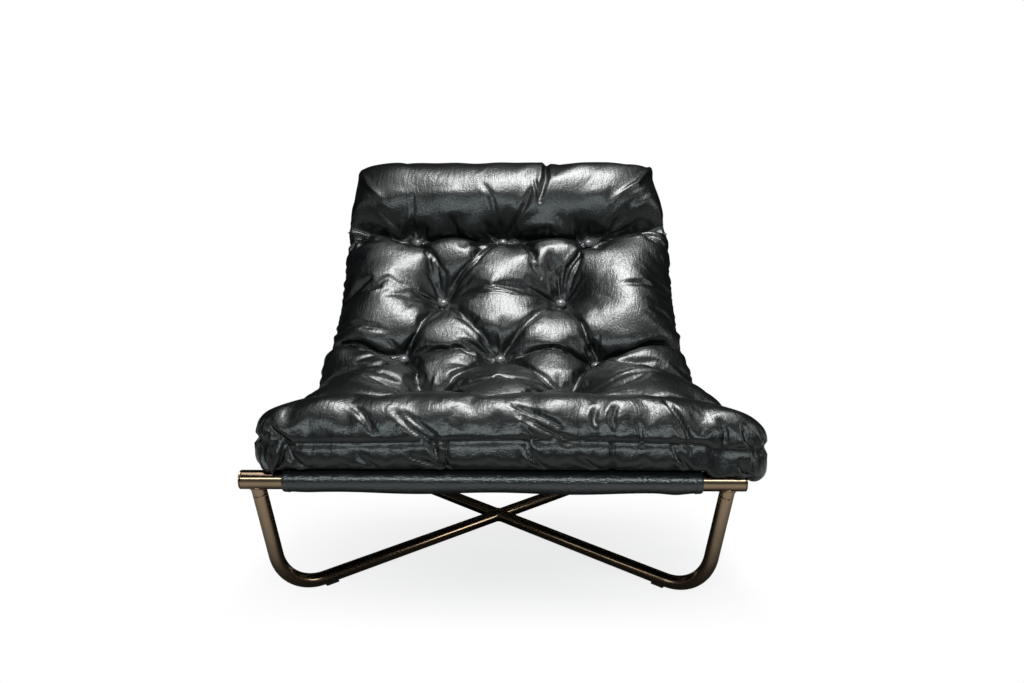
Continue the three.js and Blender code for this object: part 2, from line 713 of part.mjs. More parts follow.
// One sleeve: the sling's end goes round its rail and back to a seam on the underside.
function sleeve(rail, end, inward, turn) {
  const centre = flat(rail);
  const seamEnd = underSling(end + inward * SLEEVE_FLAP);
  const seamStart = underSling(end + inward * (SLEEVE_FLAP - 4 * SLING_LEATHER));
  const top = flat(overSling(end, 0, 0));
  const outerTouch = tangentPoint(seamEnd, centre, SLEEVE_OUTER, turn);
  const innerTop = underSling(end);
  const innerTouch = tangentPoint(seamStart, centre, SLEEVE_INNER, turn);
  return {
    outer: [seamEnd, outerTouch, ...aroundRail(outerTouch, top, centre, SLEEVE_OUTER, turn)],
    hole: [seamStart, innerTouch, ...aroundRail(innerTouch, innerTop, centre, SLEEVE_INNER, turn)],
  };
}

function addSling() {
  // The sling has the cushion's stations as far as it turns, and is straight past them.
  const turning = alongStations().filter((s) => s > 0 && s < SLING_LENGTH * SLING_TURN);
  const front = sleeve(FRONT_RAIL, 0, 1, -1);
  const back = sleeve(BACK_RAIL, SLING_LENGTH, -1, 1);
  const clearOfSleeves = (s) => s > SLEEVE_FLAP && s < SLING_LENGTH - SLEEVE_FLAP;
  const topLine = turning.map((s) => flat(overSling(s, 0, 0)));
  const underLine = turning.filter(clearOfSleeves).map(underSling);
  const outline = [...underLine, ...back.outer, ...topLine.reverse(), ...front.outer.reverse()];
  const shape = new THREE.Shape(outline);
  shape.holes.push(new THREE.Path(front.hole), new THREE.Path(back.hole));
  const geometry = new THREE.ExtrudeGeometry(shape, { depth: SLING_WIDTH, steps: 1, bevelEnabled: false });
  const sideView = new THREE.Matrix4().makeBasis(
    new THREE.Vector3(0, 1, 0),
    new THREE.Vector3(0, 0, 1),
    new THREE.Vector3(1, 0, 0),
  );
  geometry.translate(0, 0, -SLING_WIDTH / 2).applyMatrix4(sideView);
  addPiece("sling", geometry, slingLeather);
}

addFrame();
addSling();
addCushion();

// The chair stands over the origin, by the middle of its box.
const middle = new THREE.Box3().setFromObject(chair).getCenter(new THREE.Vector3());
chair.position.set(-middle.x, -middle.y, 0);
const part = new THREE.Group();
part.add(chair);

export default part;
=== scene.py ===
"""Looks of the sling lounge chair: bronze tube frame, leather sling, tufted leather cushion."""

import itertools
import math

import bpy
import numpy as np
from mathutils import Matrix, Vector
from mathutils.kdtree import KDTree


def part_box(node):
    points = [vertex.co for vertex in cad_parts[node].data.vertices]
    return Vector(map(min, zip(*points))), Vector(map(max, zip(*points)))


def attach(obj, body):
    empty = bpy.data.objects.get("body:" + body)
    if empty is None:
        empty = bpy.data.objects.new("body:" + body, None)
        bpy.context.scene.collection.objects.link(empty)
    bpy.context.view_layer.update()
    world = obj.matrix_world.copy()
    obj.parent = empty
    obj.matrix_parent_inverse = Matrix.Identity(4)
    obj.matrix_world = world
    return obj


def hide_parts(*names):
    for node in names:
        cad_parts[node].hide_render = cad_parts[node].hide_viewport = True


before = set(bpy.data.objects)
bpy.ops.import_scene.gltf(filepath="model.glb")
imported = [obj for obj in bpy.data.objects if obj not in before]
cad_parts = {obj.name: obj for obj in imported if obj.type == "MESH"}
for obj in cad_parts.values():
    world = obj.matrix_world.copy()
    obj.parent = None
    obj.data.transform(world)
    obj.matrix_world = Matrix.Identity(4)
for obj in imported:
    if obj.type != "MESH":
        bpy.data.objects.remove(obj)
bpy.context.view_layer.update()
scene = bpy.context.scene

# Places and sizes read from the solids, in metres


def box_middle(node):
    low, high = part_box(node)
    return (low + high) / 2


FRONT_RAIL = box_middle("front_rail")
BACK_RAIL = box_middle("back_rail")
MIDDLE_X = FRONT_RAIL.x
RAIL_RADIUS = (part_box("front_rail")[1].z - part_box("front_rail")[0].z) / 2
FRONT_RAIL_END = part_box("front_rail_cap_right")[1].x - MIDDLE_X
BACK_RAIL_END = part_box("back_rail_cap_right")[1].x - MIDDLE_X
SLING_HALF = (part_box("sling")[1].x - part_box("sling")[0].x) / 2
GLIDE_THICKNESS = 0.002
HANDS = ((-1, "left"), (1, "right"))

# Frame sizes
LEG_RADIUS = 0.0125
BEND_RADIUS = 0.090
FRONT_LEG_SPREAD = 0.787
FOOT_SPREAD = 0.730
FOOT_DEPTH = 0.652
COLLAR_HEIGHT = 0.011
CAP_THICKNESS = 0.0025
CAP_ROUND = 0.0012
EDGE_BREAK = 0.0006
SPIGOT_SHOWN = 0.004
WELD_RADIUS = 0.0017
WELD_INSET = 0.3 * WELD_RADIUS
TUBE_SEGMENTS = 40
RAIL_SEGMENTS = 64
BEND_STATIONS = 28
SHARP_ANGLE = math.radians(50)

# Sling sizes
SLING_LEATHER = 0.003
SLING_LENGTH = 1.050
SLING_FRONT_SLOPE = math.radians(-15)
SLING_BACK_SLOPE = math.radians(47)
SLING_TURN = 0.78
SLEEVE_GAP = 0.0003
SLEEVE_FLAP = 0.062
HEM_WIDTH = 0.013
HEM_EXTRA = 0.0018
HEM_ROUND = 0.003
HEM_EDGE_SHARE = 0.45
HEM_STATIONS = (0.0, 0.0015, 0.004, 0.008, HEM_WIDTH - 0.0025, HEM_WIDTH - 0.001)
SLACK = 0.0021
SLACK_WAVE = 0.0016
SLACK_WAVE_LENGTH = 0.26
SLACK_WAVE_START = -0.125
SLACK_LUMP = (0.305, 0.022, 0.0022)
SLACK_END = 0.05
SLACK_DEPTH = 0.05
SLING_STATIONS = (141, 111)
SLEEVE_STATIONS = (9, 34)
STITCH_INSET = 0.0105
STITCH_PITCH = 0.0062
STITCH_LENGTH = 0.0042
STITCH_RADIUS = 0.00055
STITCH_STATIONS = np.array((0.0, 0.2, 0.8, 1.0))
STITCH_TAPER = np.array((0.3, 1.0, 1.0, 0.3))
STITCH_SEGMENTS = 6

# Cushion sizes. Three numbers are a bell's middle, reach and size, or an ease's two ends and size.
FRONT_EDGE = -0.035
HEAD_EDGE = SLING_LENGTH + 0.087
FRONT_WIDTH = 0.862
BACK_WIDTH = 0.793
HEAD_NARROWING = 0.009
HEAD_SHIFT = 0.009
HEAD_REACH = 0.220
LEFT_BULGE = 0.0035
LEFT_BULGES = ((0.945, 0.035), (0.490, 0.070))
RIGHT_NOTCH = (0.17, 0.05, 0.006)
FRONT_DRIFT = 0.0305
BACK_DRIFT = 0.013
WAIST_DISTANCE = 0.680
SEAM_HEIGHT = 0.055
START_CROWN = 0.094
TUFT_HEIGHT = 0.044
MIDDLE_ROW_LIFT = 0.018
MIDDLE_ROW_LIFT_END = (0.10, 0.20)
MIDDLE_ROW_REACH = 0.08
UNDERSIDE = 0.003
ROUNDING = 0.060
EDGE_POWER = 2.3
FRONT_POWER = 0.9
HEAD_POWER = (0.90, 1.00, 0.7)
BORDER_POWER = 2.4
FRONT_ZONE = (0.06, 0.30)
SPACING_POWERS = (3.4, 2.5)
SEAM_BOW = 0.004
SEAM_BOW_MORE = (0.06, 0.20, 0.007)
SEAM_BOW_END = 0.10
SEAM_HEAD_FALL = (0.98, HEAD_EDGE, 0.036)
HEAD_ROLL = (0.93, 1.01, 0.046)
HEAD_ROLL_AT_SIDES = 0.45
HEAD_ROLL_SIDES = (0.01, 0.13)
FRONT_ROLL = 0.020
FRONT_ROLL_ZONE = (0.03, 0.13)
FRONT_TAPER_START = -0.02
FRONT_TAPER_LEFT = 0.13
FRONT_TAPER_RIGHT = 0.26
FRONT_DROOP = 11.0
SEAT_HOLLOW = (0.42, 0.07, 0.020)
SHOULDER_FALL = 0.011
SHOULDER_ZONE = (0.20, 0.24)
SHOULDER_DEPTH = 0.16
SIDE_DIP = 0.030
SIDE_DIP_PLACE = (0.15, 0.045)
CORNER_DROP = 0.018
CORNER_SAG = 0.005
CORNER_HANG = 0.011
CORNER_ZONE = (0.03, 0.12)
CORNER_HEIGHTS = (0.03, 0.10)
PAST_SLING = (0.001, 0.014)
PAST_RAIL = (-0.006, 0.028)
RAIL_BED = 0.028
EARS = ((-1, 0.010), (1, 0.017))
EAR_REACH = 0.016
TUFT_ROWS = [
    ("head", 0.906, (-0.215, 0.0, 0.215)),
    ("upper", 0.720, (-0.141, 0.141)),
    ("middle", 0.512, (-0.215, 0.0, 0.215)),
    ("lower", 0.328, (-0.141, 0.141)),
    ("front", 0.152, (-0.215, 0.0, 0.215)),
]
ROW_TURN = (0.215, 0.40, 0.042)
PLEAT_REACH = 0.30
PLEAT_DEPTH = 0.006
PLEAT_END_DEPTH = 0.020
PLEAT_WIDTH = 0.020
HEAD_CREASE = 0.044
ROW_CREASE = (0.19, 0.22, 0.020)
CREASE_WIDTH = 0.024
TUFT_PIT = 0.048
WAVE_HEIGHT = 0.0022
WAVE_COUNT = 24
WAVE_NUMBERS = (25, 80)
WAVE_CLEARANCE = 0.05
PLACE_NAMES = {2: ("left", "right"), 3: ("left", "middle", "right")}
BUTTON_RADIUS = 0.0125
BUTTON_DOME = 0.0085
BUTTON_RIM = 0.004
BUTTON_SEGMENTS = 28
BORDER_SEAMS = (-0.074, 0.194)
SEAM_DIP = 0.0042
SEAM_DIP_WIDTH = 0.0042
PUCKER = 0.0007
CORNER_PUCKER = 0.0026
PUCKER_START = 0.008
PUCKER_REACH = 0.022
PUCKER_RUN = 12
PUCKER_SMOOTHING = 3.0
PUCKER_CORNER = (0.30, 0.38)
PUCKER_FRONT = (0.02, 0.06)
# Radius of the dark bead of painted shade in each seam
SHADE_BEAD_RADIUS = 0.0011
FOLD_REACH = 5
FOLD_FADE = (0.02, 0.98)
LIP_PLACE = 1.8
LIP_WIDTH = 1.2
TUFT_FOLDS = 9
TUFT_FOLD_TURN = 0.22
TUFT_FOLD_BOW = 0.006
TUFT_FOLD_BEND = 0.55
TUFT_FOLD_START = 0.017
TUFT_FOLD_REACHES = (0.040, 0.078)
TUFT_FOLD_WIDTHS = (0.0030, 0.0050)
TUFT_FOLD_DEPTHS = (0.0025, 0.0045)
TUFT_FOLD_LIP = 0.0008
WAVE_SEED = 5
FOLD_SEED = 11
PUCKER_SEED = 3
CLOTH_SPACING = 0.007
CLOTH_FRAMES = 24
CLOTH_SETTINGS = dict(
    quality=6,
    mass=0.3,
    tension_stiffness=20,
    compression_stiffness=20,
    shear_stiffness=8,
    bending_stiffness=0.3,
    air_damping=2,
    use_pressure=True,
    uniform_pressure_force=7.5,
    vertex_group_mass="held",
    vertex_group_shrink="tight",
    shrink_min=-0.085,
    shrink_max=0.0,
)
HELD_TUFT = 0.6 * CLOTH_SPACING
HELD_EDGE = 0.93
TIGHT_HEAD = (0.92, 0.96)
TIGHT_FRONT = 0.85
TIGHT_FRONT_ZONE = (0.08, 0.16)
TIGHT_UNDERSIDE = 0.7
TIGHT_LEAST = 0.01


# Materials


def new_material(name):
    material = bpy.data.materials.new(name)
    material.use_nodes = True
    return material, material.node_tree, material.node_tree.nodes["Principled BSDF"]


def feed(tree, node, inputs):
    """Gives a node's inputs their values, or the outputs that they follow."""
    for key, value in inputs.items():
        if isinstance(value, bpy.types.NodeSocket):
            tree.links.new(value, node.inputs[key])
        else:
            node.inputs[key].default_value = value


def add_node(tree, kind, inputs=(), **settings):
    """Adds a node, and returns its outputs."""
    node = tree.nodes.new(kind)
    for key, value in settings.items():
        setattr(node, key, value)
    feed(tree, node, dict(inputs))
    return node.outputs


def object_place(tree):
    return add_node(tree, "ShaderNodeTexCoord")["Object"]


def camera_ray(tree):
    return add_node(tree, "ShaderNodeLightPath")["Is Camera Ray"]


def add_noise(tree, vector, scale, detail, distortion=0.0):
    inputs = {"Vector": vector, "Scale": scale, "Detail": detail, "Distortion": distortion}
    return add_node(tree, "ShaderNodeTexNoise", inputs)


def add_range(tree, value, outcome, span=(0.0, 1.0), kind="LINEAR"):
    """Brings a value from a span to the outcome's span."""
    inputs = {"Value": value, "From Min": span[0], "From Max": span[1]}
    inputs |= {"To Min": outcome[0], "To Max": outcome[1]}
    return add_node(tree, "ShaderNodeMapRange", inputs, interpolation_type=kind)["Result"]


# A mix node's two inputs and its output, for places and for colours
MIX_SOCKETS = {"VECTOR": (4, 5, 1), "RGBA": (6, 7, 2)}


def add_mix(tree, kind, share, first, second):
    low, high, result = MIX_SOCKETS[kind]
    inputs = {0: share, low: first, high: second}
    return add_node(tree, "ShaderNodeMix", inputs, data_type=kind)[result]


def add_bump(tree, height, strength, distance, under=None):
    inputs = {"Height": height, "Strength": strength, "Distance": distance}
    if under:
        inputs["Normal"] = under
    return add_node(tree, "ShaderNodeBump", inputs)["Normal"]


SHEEN_TINT = (0.965, 1.0, 0.975, 1)
METAL_CLOUDS = {"cloud": (38.0, 6.0), "shades": (0.82, 1.15), "glosses": (0.8, 1.25)}
LEATHER_CLOUDS = {"cloud": (9.0, 4.0), "shades": (0.75, 1.3), "glosses": (0.85, 1.2)}
SLOW_NOISE = (5.0, 2.0)
WRINKLE_NOISE = (1.0, 4.0, 0.7)
WRINKLE_SWAY = 0.07
WRINKLE_STRETCH = (0.0, 160.0, 32.0)
WRINKLE_DEPTH = 0.0022
CRACKLE_NOISE = (40.0, 3.0)
CRACKLE_SWAY = 0.03
CRACKLE_SCALE = 75.0
CRACKLE_WIDTH = 0.16
CRACKLE_SHARE = 0.35
GRAIN_NOISE = (330.0, 3.0)
GRAIN_DEPTH = 0.0012
PORE_SCALE = 620.0
PORE_DEPTH = 0.0004


def toned(tree, shader, colour, roughness, cloud, shades, glosses):
    """Uneven colour and gloss."""
    share = add_noise(tree, object_place(tree), *cloud)["Fac"]
    dark, light = [(*[part * shade for part in colour], 1) for shade in shades]
    tone = add_mix(tree, "RGBA", share, dark, light)
    gloss = add_range(tree, share, [roughness * part for part in glosses])
    feed(tree, shader, {"Base Color": tone, "Roughness": gloss})


def metal_material(name, colour, roughness):
    material, tree, shader = new_material(name)
    toned(tree, shader, colour, roughness, **METAL_CLOUDS)
    feed(tree, shader, {"Metallic": 1.0})
    return material


def plain_material(name, colour, roughness, grain):
    """Small pieces: plastic, thread, twine, button leather, and the painted shade of a seam's gap."""
    material, tree, shader = new_material(name)
    toned(tree, shader, colour, roughness, **LEATHER_CLOUDS)
    inputs = {"Vector": object_place(tree), "Scale": PORE_SCALE}
    pores = add_node(tree, "ShaderNodeTexVoronoi", inputs)["Distance"]
    bump = add_bump(tree, pores, grain, PORE_DEPTH)
    feed(tree, shader, {"Normal": bump, "Specular Tint": SHEEN_TINT})
    return material


def leather_material(name, colour, roughness, shine, wrinkle, grain):
    """Aniline leather: fine grain, a crackle of small creases, and wrinkles along the cover's length."""
    material, tree, shader = new_material(name)
    toned(tree, shader, colour, roughness, **LEATHER_CLOUDS)

    layout = add_node(tree, "ShaderNodeAttribute", attribute_name="plan")["Vector"]
    slow = add_noise(tree, layout, *SLOW_NOISE)["Color"]
    inputs = {"Vector": add_mix(tree, "VECTOR", WRINKLE_SWAY, layout, slow), "Scale": WRINKLE_STRETCH}
    drawn = add_node(tree, "ShaderNodeMapping", inputs)["Vector"]
    bump = add_bump(tree, add_noise(tree, drawn, *WRINKLE_NOISE)["Fac"], wrinkle, WRINKLE_DEPTH)

    place = object_place(tree)
    wander = add_noise(tree, place, *CRACKLE_NOISE)["Color"]
    inputs = {"Vector": add_mix(tree, "VECTOR", CRACKLE_SWAY, place, wander), "Scale": CRACKLE_SCALE}
    crackle = add_node(tree, "ShaderNodeTexVoronoi", inputs, feature="DISTANCE_TO_EDGE")
    shallow = add_range(tree, crackle["Distance"], (0.0, 1.0), (0.0, CRACKLE_WIDTH))
    bump = add_bump(tree, shallow, wrinkle * CRACKLE_SHARE, GRAIN_DEPTH, bump)

    bump = add_bump(tree, add_noise(tree, place, *GRAIN_NOISE)["Fac"], grain, GRAIN_DEPTH, bump)
    feed(tree, shader, {"Normal": bump, "Specular Tint": SHEEN_TINT, "Specular IOR Level": shine})
    return material


BRONZE = metal_material("bronze", (0.275, 0.198, 0.128), 0.15)
STEEL = metal_material("black_oxide", (0.10, 0.10, 0.105), 0.40)
GLIDE = plain_material("glide_plastic", (0.030, 0.030, 0.032), 0.4, 0.1)
SLING_SKIN = leather_material("sling_leather", (0.006, 0.008, 0.009), 0.24, 0.85, 0.60, 0.30)
CUSHION_SKIN = leather_material("cushion_leather", (0.0009, 0.0012, 0.0014), 0.31, 0.50, 0.36, 0.12)
BUTTON_SKIN = plain_material("button_leather", (0.055, 0.058, 0.060), 0.24, 0.15)
# Painted shade: a matte near-black for the bead that stands for the shaded gap in the cushion's seams
SEAM_GAP_SHADE = plain_material("seam_gap_shade", (0.0012, 0.0013, 0.0014), 0.85, 0.2)
THREAD = plain_material("thread", (0.02, 0.022, 0.024), 0.6, 0.3)
TWINE = plain_material("twine", (0.06, 0.05, 0.04), 0.8, 0.4)


# Meshes


def add_object(name, data):
    item = bpy.data.objects.new(name, data)
    scene.collection.objects.link(item)
    return item


def add_mesh(name, points, faces, material, stands_for=()):
    mesh = bpy.data.meshes.new(name)
    mesh.from_pydata(np.asarray(points).tolist(), [], [list(map(int, face)) for face in faces])
    mesh.materials.append(material)
    mesh.polygons.foreach_set("use_smooth", [True] * len(mesh.polygons))
    mesh.set_sharp_from_angle(angle=SHARP_ANGLE)
    mesh.update()
    piece = add_object(name, mesh)
    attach(piece, "root")
    if stands_for:
        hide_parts(*stands_for)
    return piece


def add_plan(piece, plan):
    """Keeps where each point lies on the flat leather, for its wrinkles and folds."""
    layout = piece.data.attributes.new("plan", "FLOAT_VECTOR", "POINT")
    layout.data.foreach_set("vector", plan.reshape(-1))


def grid_faces(rows, columns, around=False, start=0):
    """Quads of a grid of points, facing the side from which columns run left to right."""
    last = columns if around else columns - 1
    faces = []
    for row in range(rows - 1):
        here = start + row * columns
        above = here + columns
        for column in range(last):
            beside = (column + 1) % columns
            faces.append((here + column, here + beside, above + beside, above + column))
    return faces


def unit(vector):
    return vector / np.linalg.norm(vector)


def walked_along(line):
    """The way walked along a line of points, from its first one."""
    return np.concatenate([[0], np.cumsum(np.linalg.norm(np.diff(line, axis=0), axis=1))])


def rings_along(path, tangents, radii, segments):
    """Rings of points round a path, with as little twist as the path allows."""
    path = np.asarray(path, float)
    normal = np.cross(tangents[0], (0.0, 0.0, 1.0))
    if np.linalg.norm(normal) < 0.1:
        normal = np.cross(tangents[0], (1.0, 0.0, 0.0))
    turns = np.linspace(0, 2 * math.pi, segments, endpoint=False)
    rings = []
    for point, tangent, radius in zip(path, tangents, radii):
        normal = unit(normal - np.dot(normal, tangent) * tangent)
        side = np.cross(tangent, normal)
        circle = np.cos(turns)[:, None] * normal + np.sin(turns)[:, None] * side
        rings.append(point + radius * circle)
    return np.array(rings)


def turned_rings(foot, axis, profile, segments):
    """Rings of a turned piece: its profile is pairs of a reach along the axis and a radius."""
    places = [foot + axis * reach for reach, _ in profile]
    return rings_along(places, [axis] * len(places), [radius for _, radius in profile], segments)


def path_tangents(path, closed=False):
    path = np.asarray(path, float)
    if closed:
        steps = np.roll(path, -1, 0) - np.roll(path, 1, 0)
    else:
        steps = np.gradient(path, axis=0)
    return steps / np.linalg.norm(steps, axis=1)[:, None]


def add_bead(name, loop, radius, material, closed=True, segments=8):
    """A thin round bead along a line of points."""
    tangents = path_tangents(loop, closed)
    rings = rings_along(loop, tangents, np.full(len(loop), radius), segments)
    if closed:
        rings = np.concatenate([rings, rings[:1]])
    points = rings.reshape(-1, 3)
    return add_mesh(name, points, grid_faces(len(rings), segments, True), material)


# Frame


def bent_route(corners):
    """Points and tangents of a tube's axis through corners, each rounded to the bend radius."""
    corners = [np.array(corner, float) for corner in corners]
    points = [corners[0]]
    tangents = [unit(corners[1] - corners[0])]
    for previous, corner, following in zip(corners, corners[1:], corners[2:]):
        before, after = unit(corner - previous), unit(following - corner)
        angle = math.acos(np.clip(before @ after, -1, 1))
        inward = unit(after - (after @ before) * before)
        start = corner - before * BEND_RADIUS * math.tan(angle / 2)
        centre = start + inward * BEND_RADIUS
        for turn in np.linspace(0, angle, BEND_STATIONS):
            spoke = -math.cos(turn) * inward + math.sin(turn) * before
            points.append(centre + BEND_RADIUS * spoke)
            tangents.append(math.cos(turn) * before + math.sin(turn) * inward)
    points.append(corners[-1])
    tangents.append(unit(corners[-1] - corners[-2]))
    return points, tangents


def with_broken_edge(points, tangents, radius, at_end=True):
    """Radii for a route, with its ends' edges broken. The route gets two stations for each break."""
    points, tangents = list(points), list(tangents)
    radii = [radius - EDGE_BREAK, *[radius] * (len(points) + 1)]
    reaches = (3 * EDGE_BREAK, EDGE_BREAK)
    for reach in reaches:
        points.insert(1, points[0] + tangents[0] * reach)
        tangents.insert(1, tangents[0])
    if at_end:
        for reach in reaches:
            points.insert(-1, points[-1] - tangents[-1] * reach)
            tangents.insert(-1, tangents[-1])
        radii += [radius, radius - EDGE_BREAK]
    return points, tangents, radii


def add_tube(name, rings, stands_for):
    count, segments = len(rings), len(rings[0])
    points = np.concatenate([rings.reshape(-1, 3), rings[:1].mean(1), rings[-1:].mean(1)])
    faces = grid_faces(count, segments, True)
    first = count * segments
    last_ring = first - segments
    for here in range(segments):
        beside = (here + 1) % segments
        faces.append((first, beside, here))
        faces.append((first + 1, last_ring + here, last_ring + beside))
    return add_mesh(name, points, faces, BRONZE, stands_for)


RUN_HEIGHT = GLIDE_THICKNESS + LEG_RADIUS
CORNER_Y = FRONT_RAIL.y + FOOT_DEPTH / 2 * (FRONT_LEG_SPREAD / FOOT_SPREAD - 1)
CROSSING = np.array((MIDDLE_X, CORNER_Y + FOOT_DEPTH / 2, RUN_HEIGHT))


def leg(name, side, rail, spread, corner_y):
    top = np.array((MIDDLE_X + side * spread / 2, rail.y, rail.z))
    corner = np.array((MIDDLE_X + side * FOOT_SPREAD / 2, corner_y, RUN_HEIGHT))
    down = unit(corner - top)
    return {
        "name": name,
        "top": top,
        "corner": corner,
        "down": down,
        "end": top + down * (RAIL_RADIUS + COLLAR_HEIGHT + SLEEVE_GAP),
    }


ENDS = (
    ("front", FRONT_RAIL, FRONT_LEG_SPREAD, CORNER_Y),
    ("back", BACK_RAIL, FOOT_SPREAD, CORNER_Y + FOOT_DEPTH),
)
LEGS = [leg(f"{end}_{hand}", side, *places) for end, *places in ENDS for side, hand in HANDS]
ACROSS = np.array((1.0, 0, 0))


def saddle_shift(offsets, along, axis, axis_radius):
    """How far each point of a ring moves along its tube until it meets another tube of that axis."""
    from_axis = offsets - (offsets @ axis)[:, None] * axis
    step = along - (along @ axis) * axis
    squared = step @ step
    towards = from_axis @ step
    beyond = (from_axis * from_axis).sum(1) - axis_radius**2
    return (-towards + np.sqrt(np.maximum(towards * towards - squared * beyond, 0))) / squared


def add_frame():
    front_left, front_right, back_left, back_right = LEGS
    corners = [front_left["end"], front_left["corner"], back_right["corner"], back_right["end"]]
    route = bent_route(corners)
    stations = with_broken_edge(*route, LEG_RADIUS)
    add_tube("base_through", rings_along(*stations, TUBE_SEGMENTS), ["base_tube_through"])

    through = unit(back_right["corner"] - front_left["corner"])
    for name, a_leg in (("front", front_right), ("back", back_left)):
        route = bent_route([a_leg["end"], a_leg["corner"], CROSSING])
        stations = with_broken_edge(*route, LEG_RADIUS, False)
        rings = rings_along(*stations, TUBE_SEGMENTS)
        outward = unit(a_leg["corner"] - CROSSING)
        shift = saddle_shift(rings[-1] - CROSSING, outward, through, LEG_RADIUS)
        rings[-1] += shift[:, None] * outward
        add_tube(f"base_{name}_half", rings, [f"base_tube_{name}_half"])
        weld = rings[-1] + outward * WELD_INSET
        add_bead(f"crossing_weld_{name}", weld, WELD_RADIUS, BRONZE)

    for name, rail, end in (("front", FRONT_RAIL, FRONT_RAIL_END), ("back", BACK_RAIL, BACK_RAIL_END)):
        add_rail(name, np.array(rail), end)
    for a_leg in LEGS:
        add_stub(a_leg)


def add_rail(name, middle, end):
    tube_end = ACROSS * (end - CAP_THICKNESS - SLEEVE_GAP)
    ends = [middle - tube_end, middle + tube_end]
    stations = with_broken_edge(ends, [ACROSS, ACROSS], RAIL_RADIUS)
    add_tube(f"{name}_rail_tube", rings_along(*stations, RAIL_SEGMENTS), [f"{name}_rail"])
    edge = [(-CAP_THICKNESS, -EDGE_BREAK), (-CAP_THICKNESS + EDGE_BREAK, 0.0)]
    for turn in np.linspace(0, math.pi / 2, 6):
        edge.append((CAP_ROUND * (math.sin(turn) - 1), CAP_ROUND * (math.cos(turn) - 1)))
    profile = [(end + along, RAIL_RADIUS + change) for along, change in edge]
    for side, hand in HANDS:
        rings = turned_rings(middle, ACROSS * side, profile, RAIL_SEGMENTS)
        add_tube(f"{name}_cap_{hand}", rings, [f"{name}_rail_cap_{hand}"])


def add_stub(a_leg):
    name, down, top = a_leg["name"], a_leg["down"], a_leg["top"]
    shoulder = RAIL_RADIUS + COLLAR_HEIGHT
    reaches = [0.0, shoulder - 3 * EDGE_BREAK, shoulder - EDGE_BREAK, shoulder, shoulder + SPIGOT_SHOWN]
    radii = [LEG_RADIUS - inset * EDGE_BREAK for inset in (0, 0, 0, 1, 3)]
    rings = turned_rings(top, down, list(zip(reaches, radii)), TUBE_SEGMENTS)
    shift = saddle_shift(rings[0] - top, down, ACROSS, RAIL_RADIUS)
    rings[0] += shift[:, None] * down
    add_tube(f"stub_{name}", rings, [f"rail_stub_{name}"])
    add_bead(f"rail_weld_{name}", rings[0] + down * WELD_INSET, WELD_RADIUS, BRONZE)


# The sling's line in the side view

LINE_STEP = 0.001
line_along = np.arange(0, SLING_LENGTH + LINE_STEP / 2, LINE_STEP)


def ease(value, low, high, size=1.0):
    """A smooth step from 0 to a size, between two values."""
    share = np.clip((value - low) / (high - low), 0, 1)
    return size * (share * share * (3 - 2 * share))


def bell(value, middle, reach, size=1.0):
    """A smooth bump of a size about a middle."""
    return size * np.exp(-(((value - middle) / reach) ** 2))


SLEEVE_OUTER = RAIL_RADIUS + SLEEVE_GAP + SLING_LEATHER
line_turn = ease(line_along, 0, SLING_LENGTH * SLING_TURN)
line_slope = SLING_FRONT_SLOPE + (SLING_BACK_SLOPE - SLING_FRONT_SLOPE) * line_turn
middle_slope = (line_slope[1:] + line_slope[:-1]) / 2
line_y = np.concatenate([[0], np.cumsum(np.cos(middle_slope) * LINE_STEP)])
line_y += FRONT_RAIL.y - SLEEVE_OUTER * math.sin(SLING_FRONT_SLOPE)
line_z = np.concatenate([[0], np.cumsum(np.sin(middle_slope) * LINE_STEP)])
line_z += FRONT_RAIL.z + SLEEVE_OUTER * math.cos(SLING_FRONT_SLOPE)


def over_sling(along, across, height):
    """Points at a height above the sling. Past its ends the line runs on straight."""
    inside = np.clip(along, 0, SLING_LENGTH)
    past = along - inside
    slope = np.interp(inside, line_along, line_slope)
    y = np.interp(inside, line_along, line_y) + past * np.cos(slope) - np.sin(slope) * height
    z = np.interp(inside, line_along, line_z) + past * np.sin(slope) + np.cos(slope) * height
    return np.stack(np.broadcast_arrays(across + MIDDLE_X, y, z), -1)


# Sling


def sleeve_line(rail, end, inward, turn):
    """Middle line of a sleeve in the side view, from its seam on the underside round the rail."""
    centre = np.array((rail.y, rail.z))
    radius = SLEEVE_OUTER - SLING_LEATHER / 2
    seam = over_sling(end + inward * SLEEVE_FLAP, 0.0, -SLING_LEATHER * 1.5)[1:]
    reach = seam - centre
    distance = np.linalg.norm(reach)
    touch = math.atan2(reach[1], reach[0]) + turn * math.acos(radius / distance)
    top = over_sling(np.float64(end), 0.0, -SLING_LEATHER / 2)[1:] - centre
    finish = math.atan2(top[1], top[0])
    sweep = turn * ((turn * (finish - touch)) % (2 * math.pi))
    angles = touch + np.linspace(0, sweep, SLEEVE_STATIONS[1])
    arc = centre + radius * np.stack([np.cos(angles), np.sin(angles)], -1)
    flap = seam + (arc[0] - seam) * np.linspace(0, 1, SLEEVE_STATIONS[0])[:-1, None]
    return np.concatenate([flap, arc])


def sling_line():
    front = sleeve_line(FRONT_RAIL, 0.0, 1, -1)
    back = sleeve_line(BACK_RAIL, SLING_LENGTH, -1, 1)[::-1]
    along = np.linspace(0, SLING_LENGTH, SLING_STATIONS[0])[1:-1]
    top = over_sling(along, 0.0, -SLING_LEATHER / 2)[:, 1:]
    return np.concatenate([front, top, back])


def sleeve_slack(across):
    """How far the front sleeve hangs below its rail, across the chair."""
    turn = (across - SLACK_WAVE_START) * 2 * math.pi / SLACK_WAVE_LENGTH
    waves = SLACK + SLACK_WAVE * np.cos(turn) + bell(across, *SLACK_LUMP)
    return waves * ease(SLING_HALF - np.abs(across), 0.0, SLACK_END)


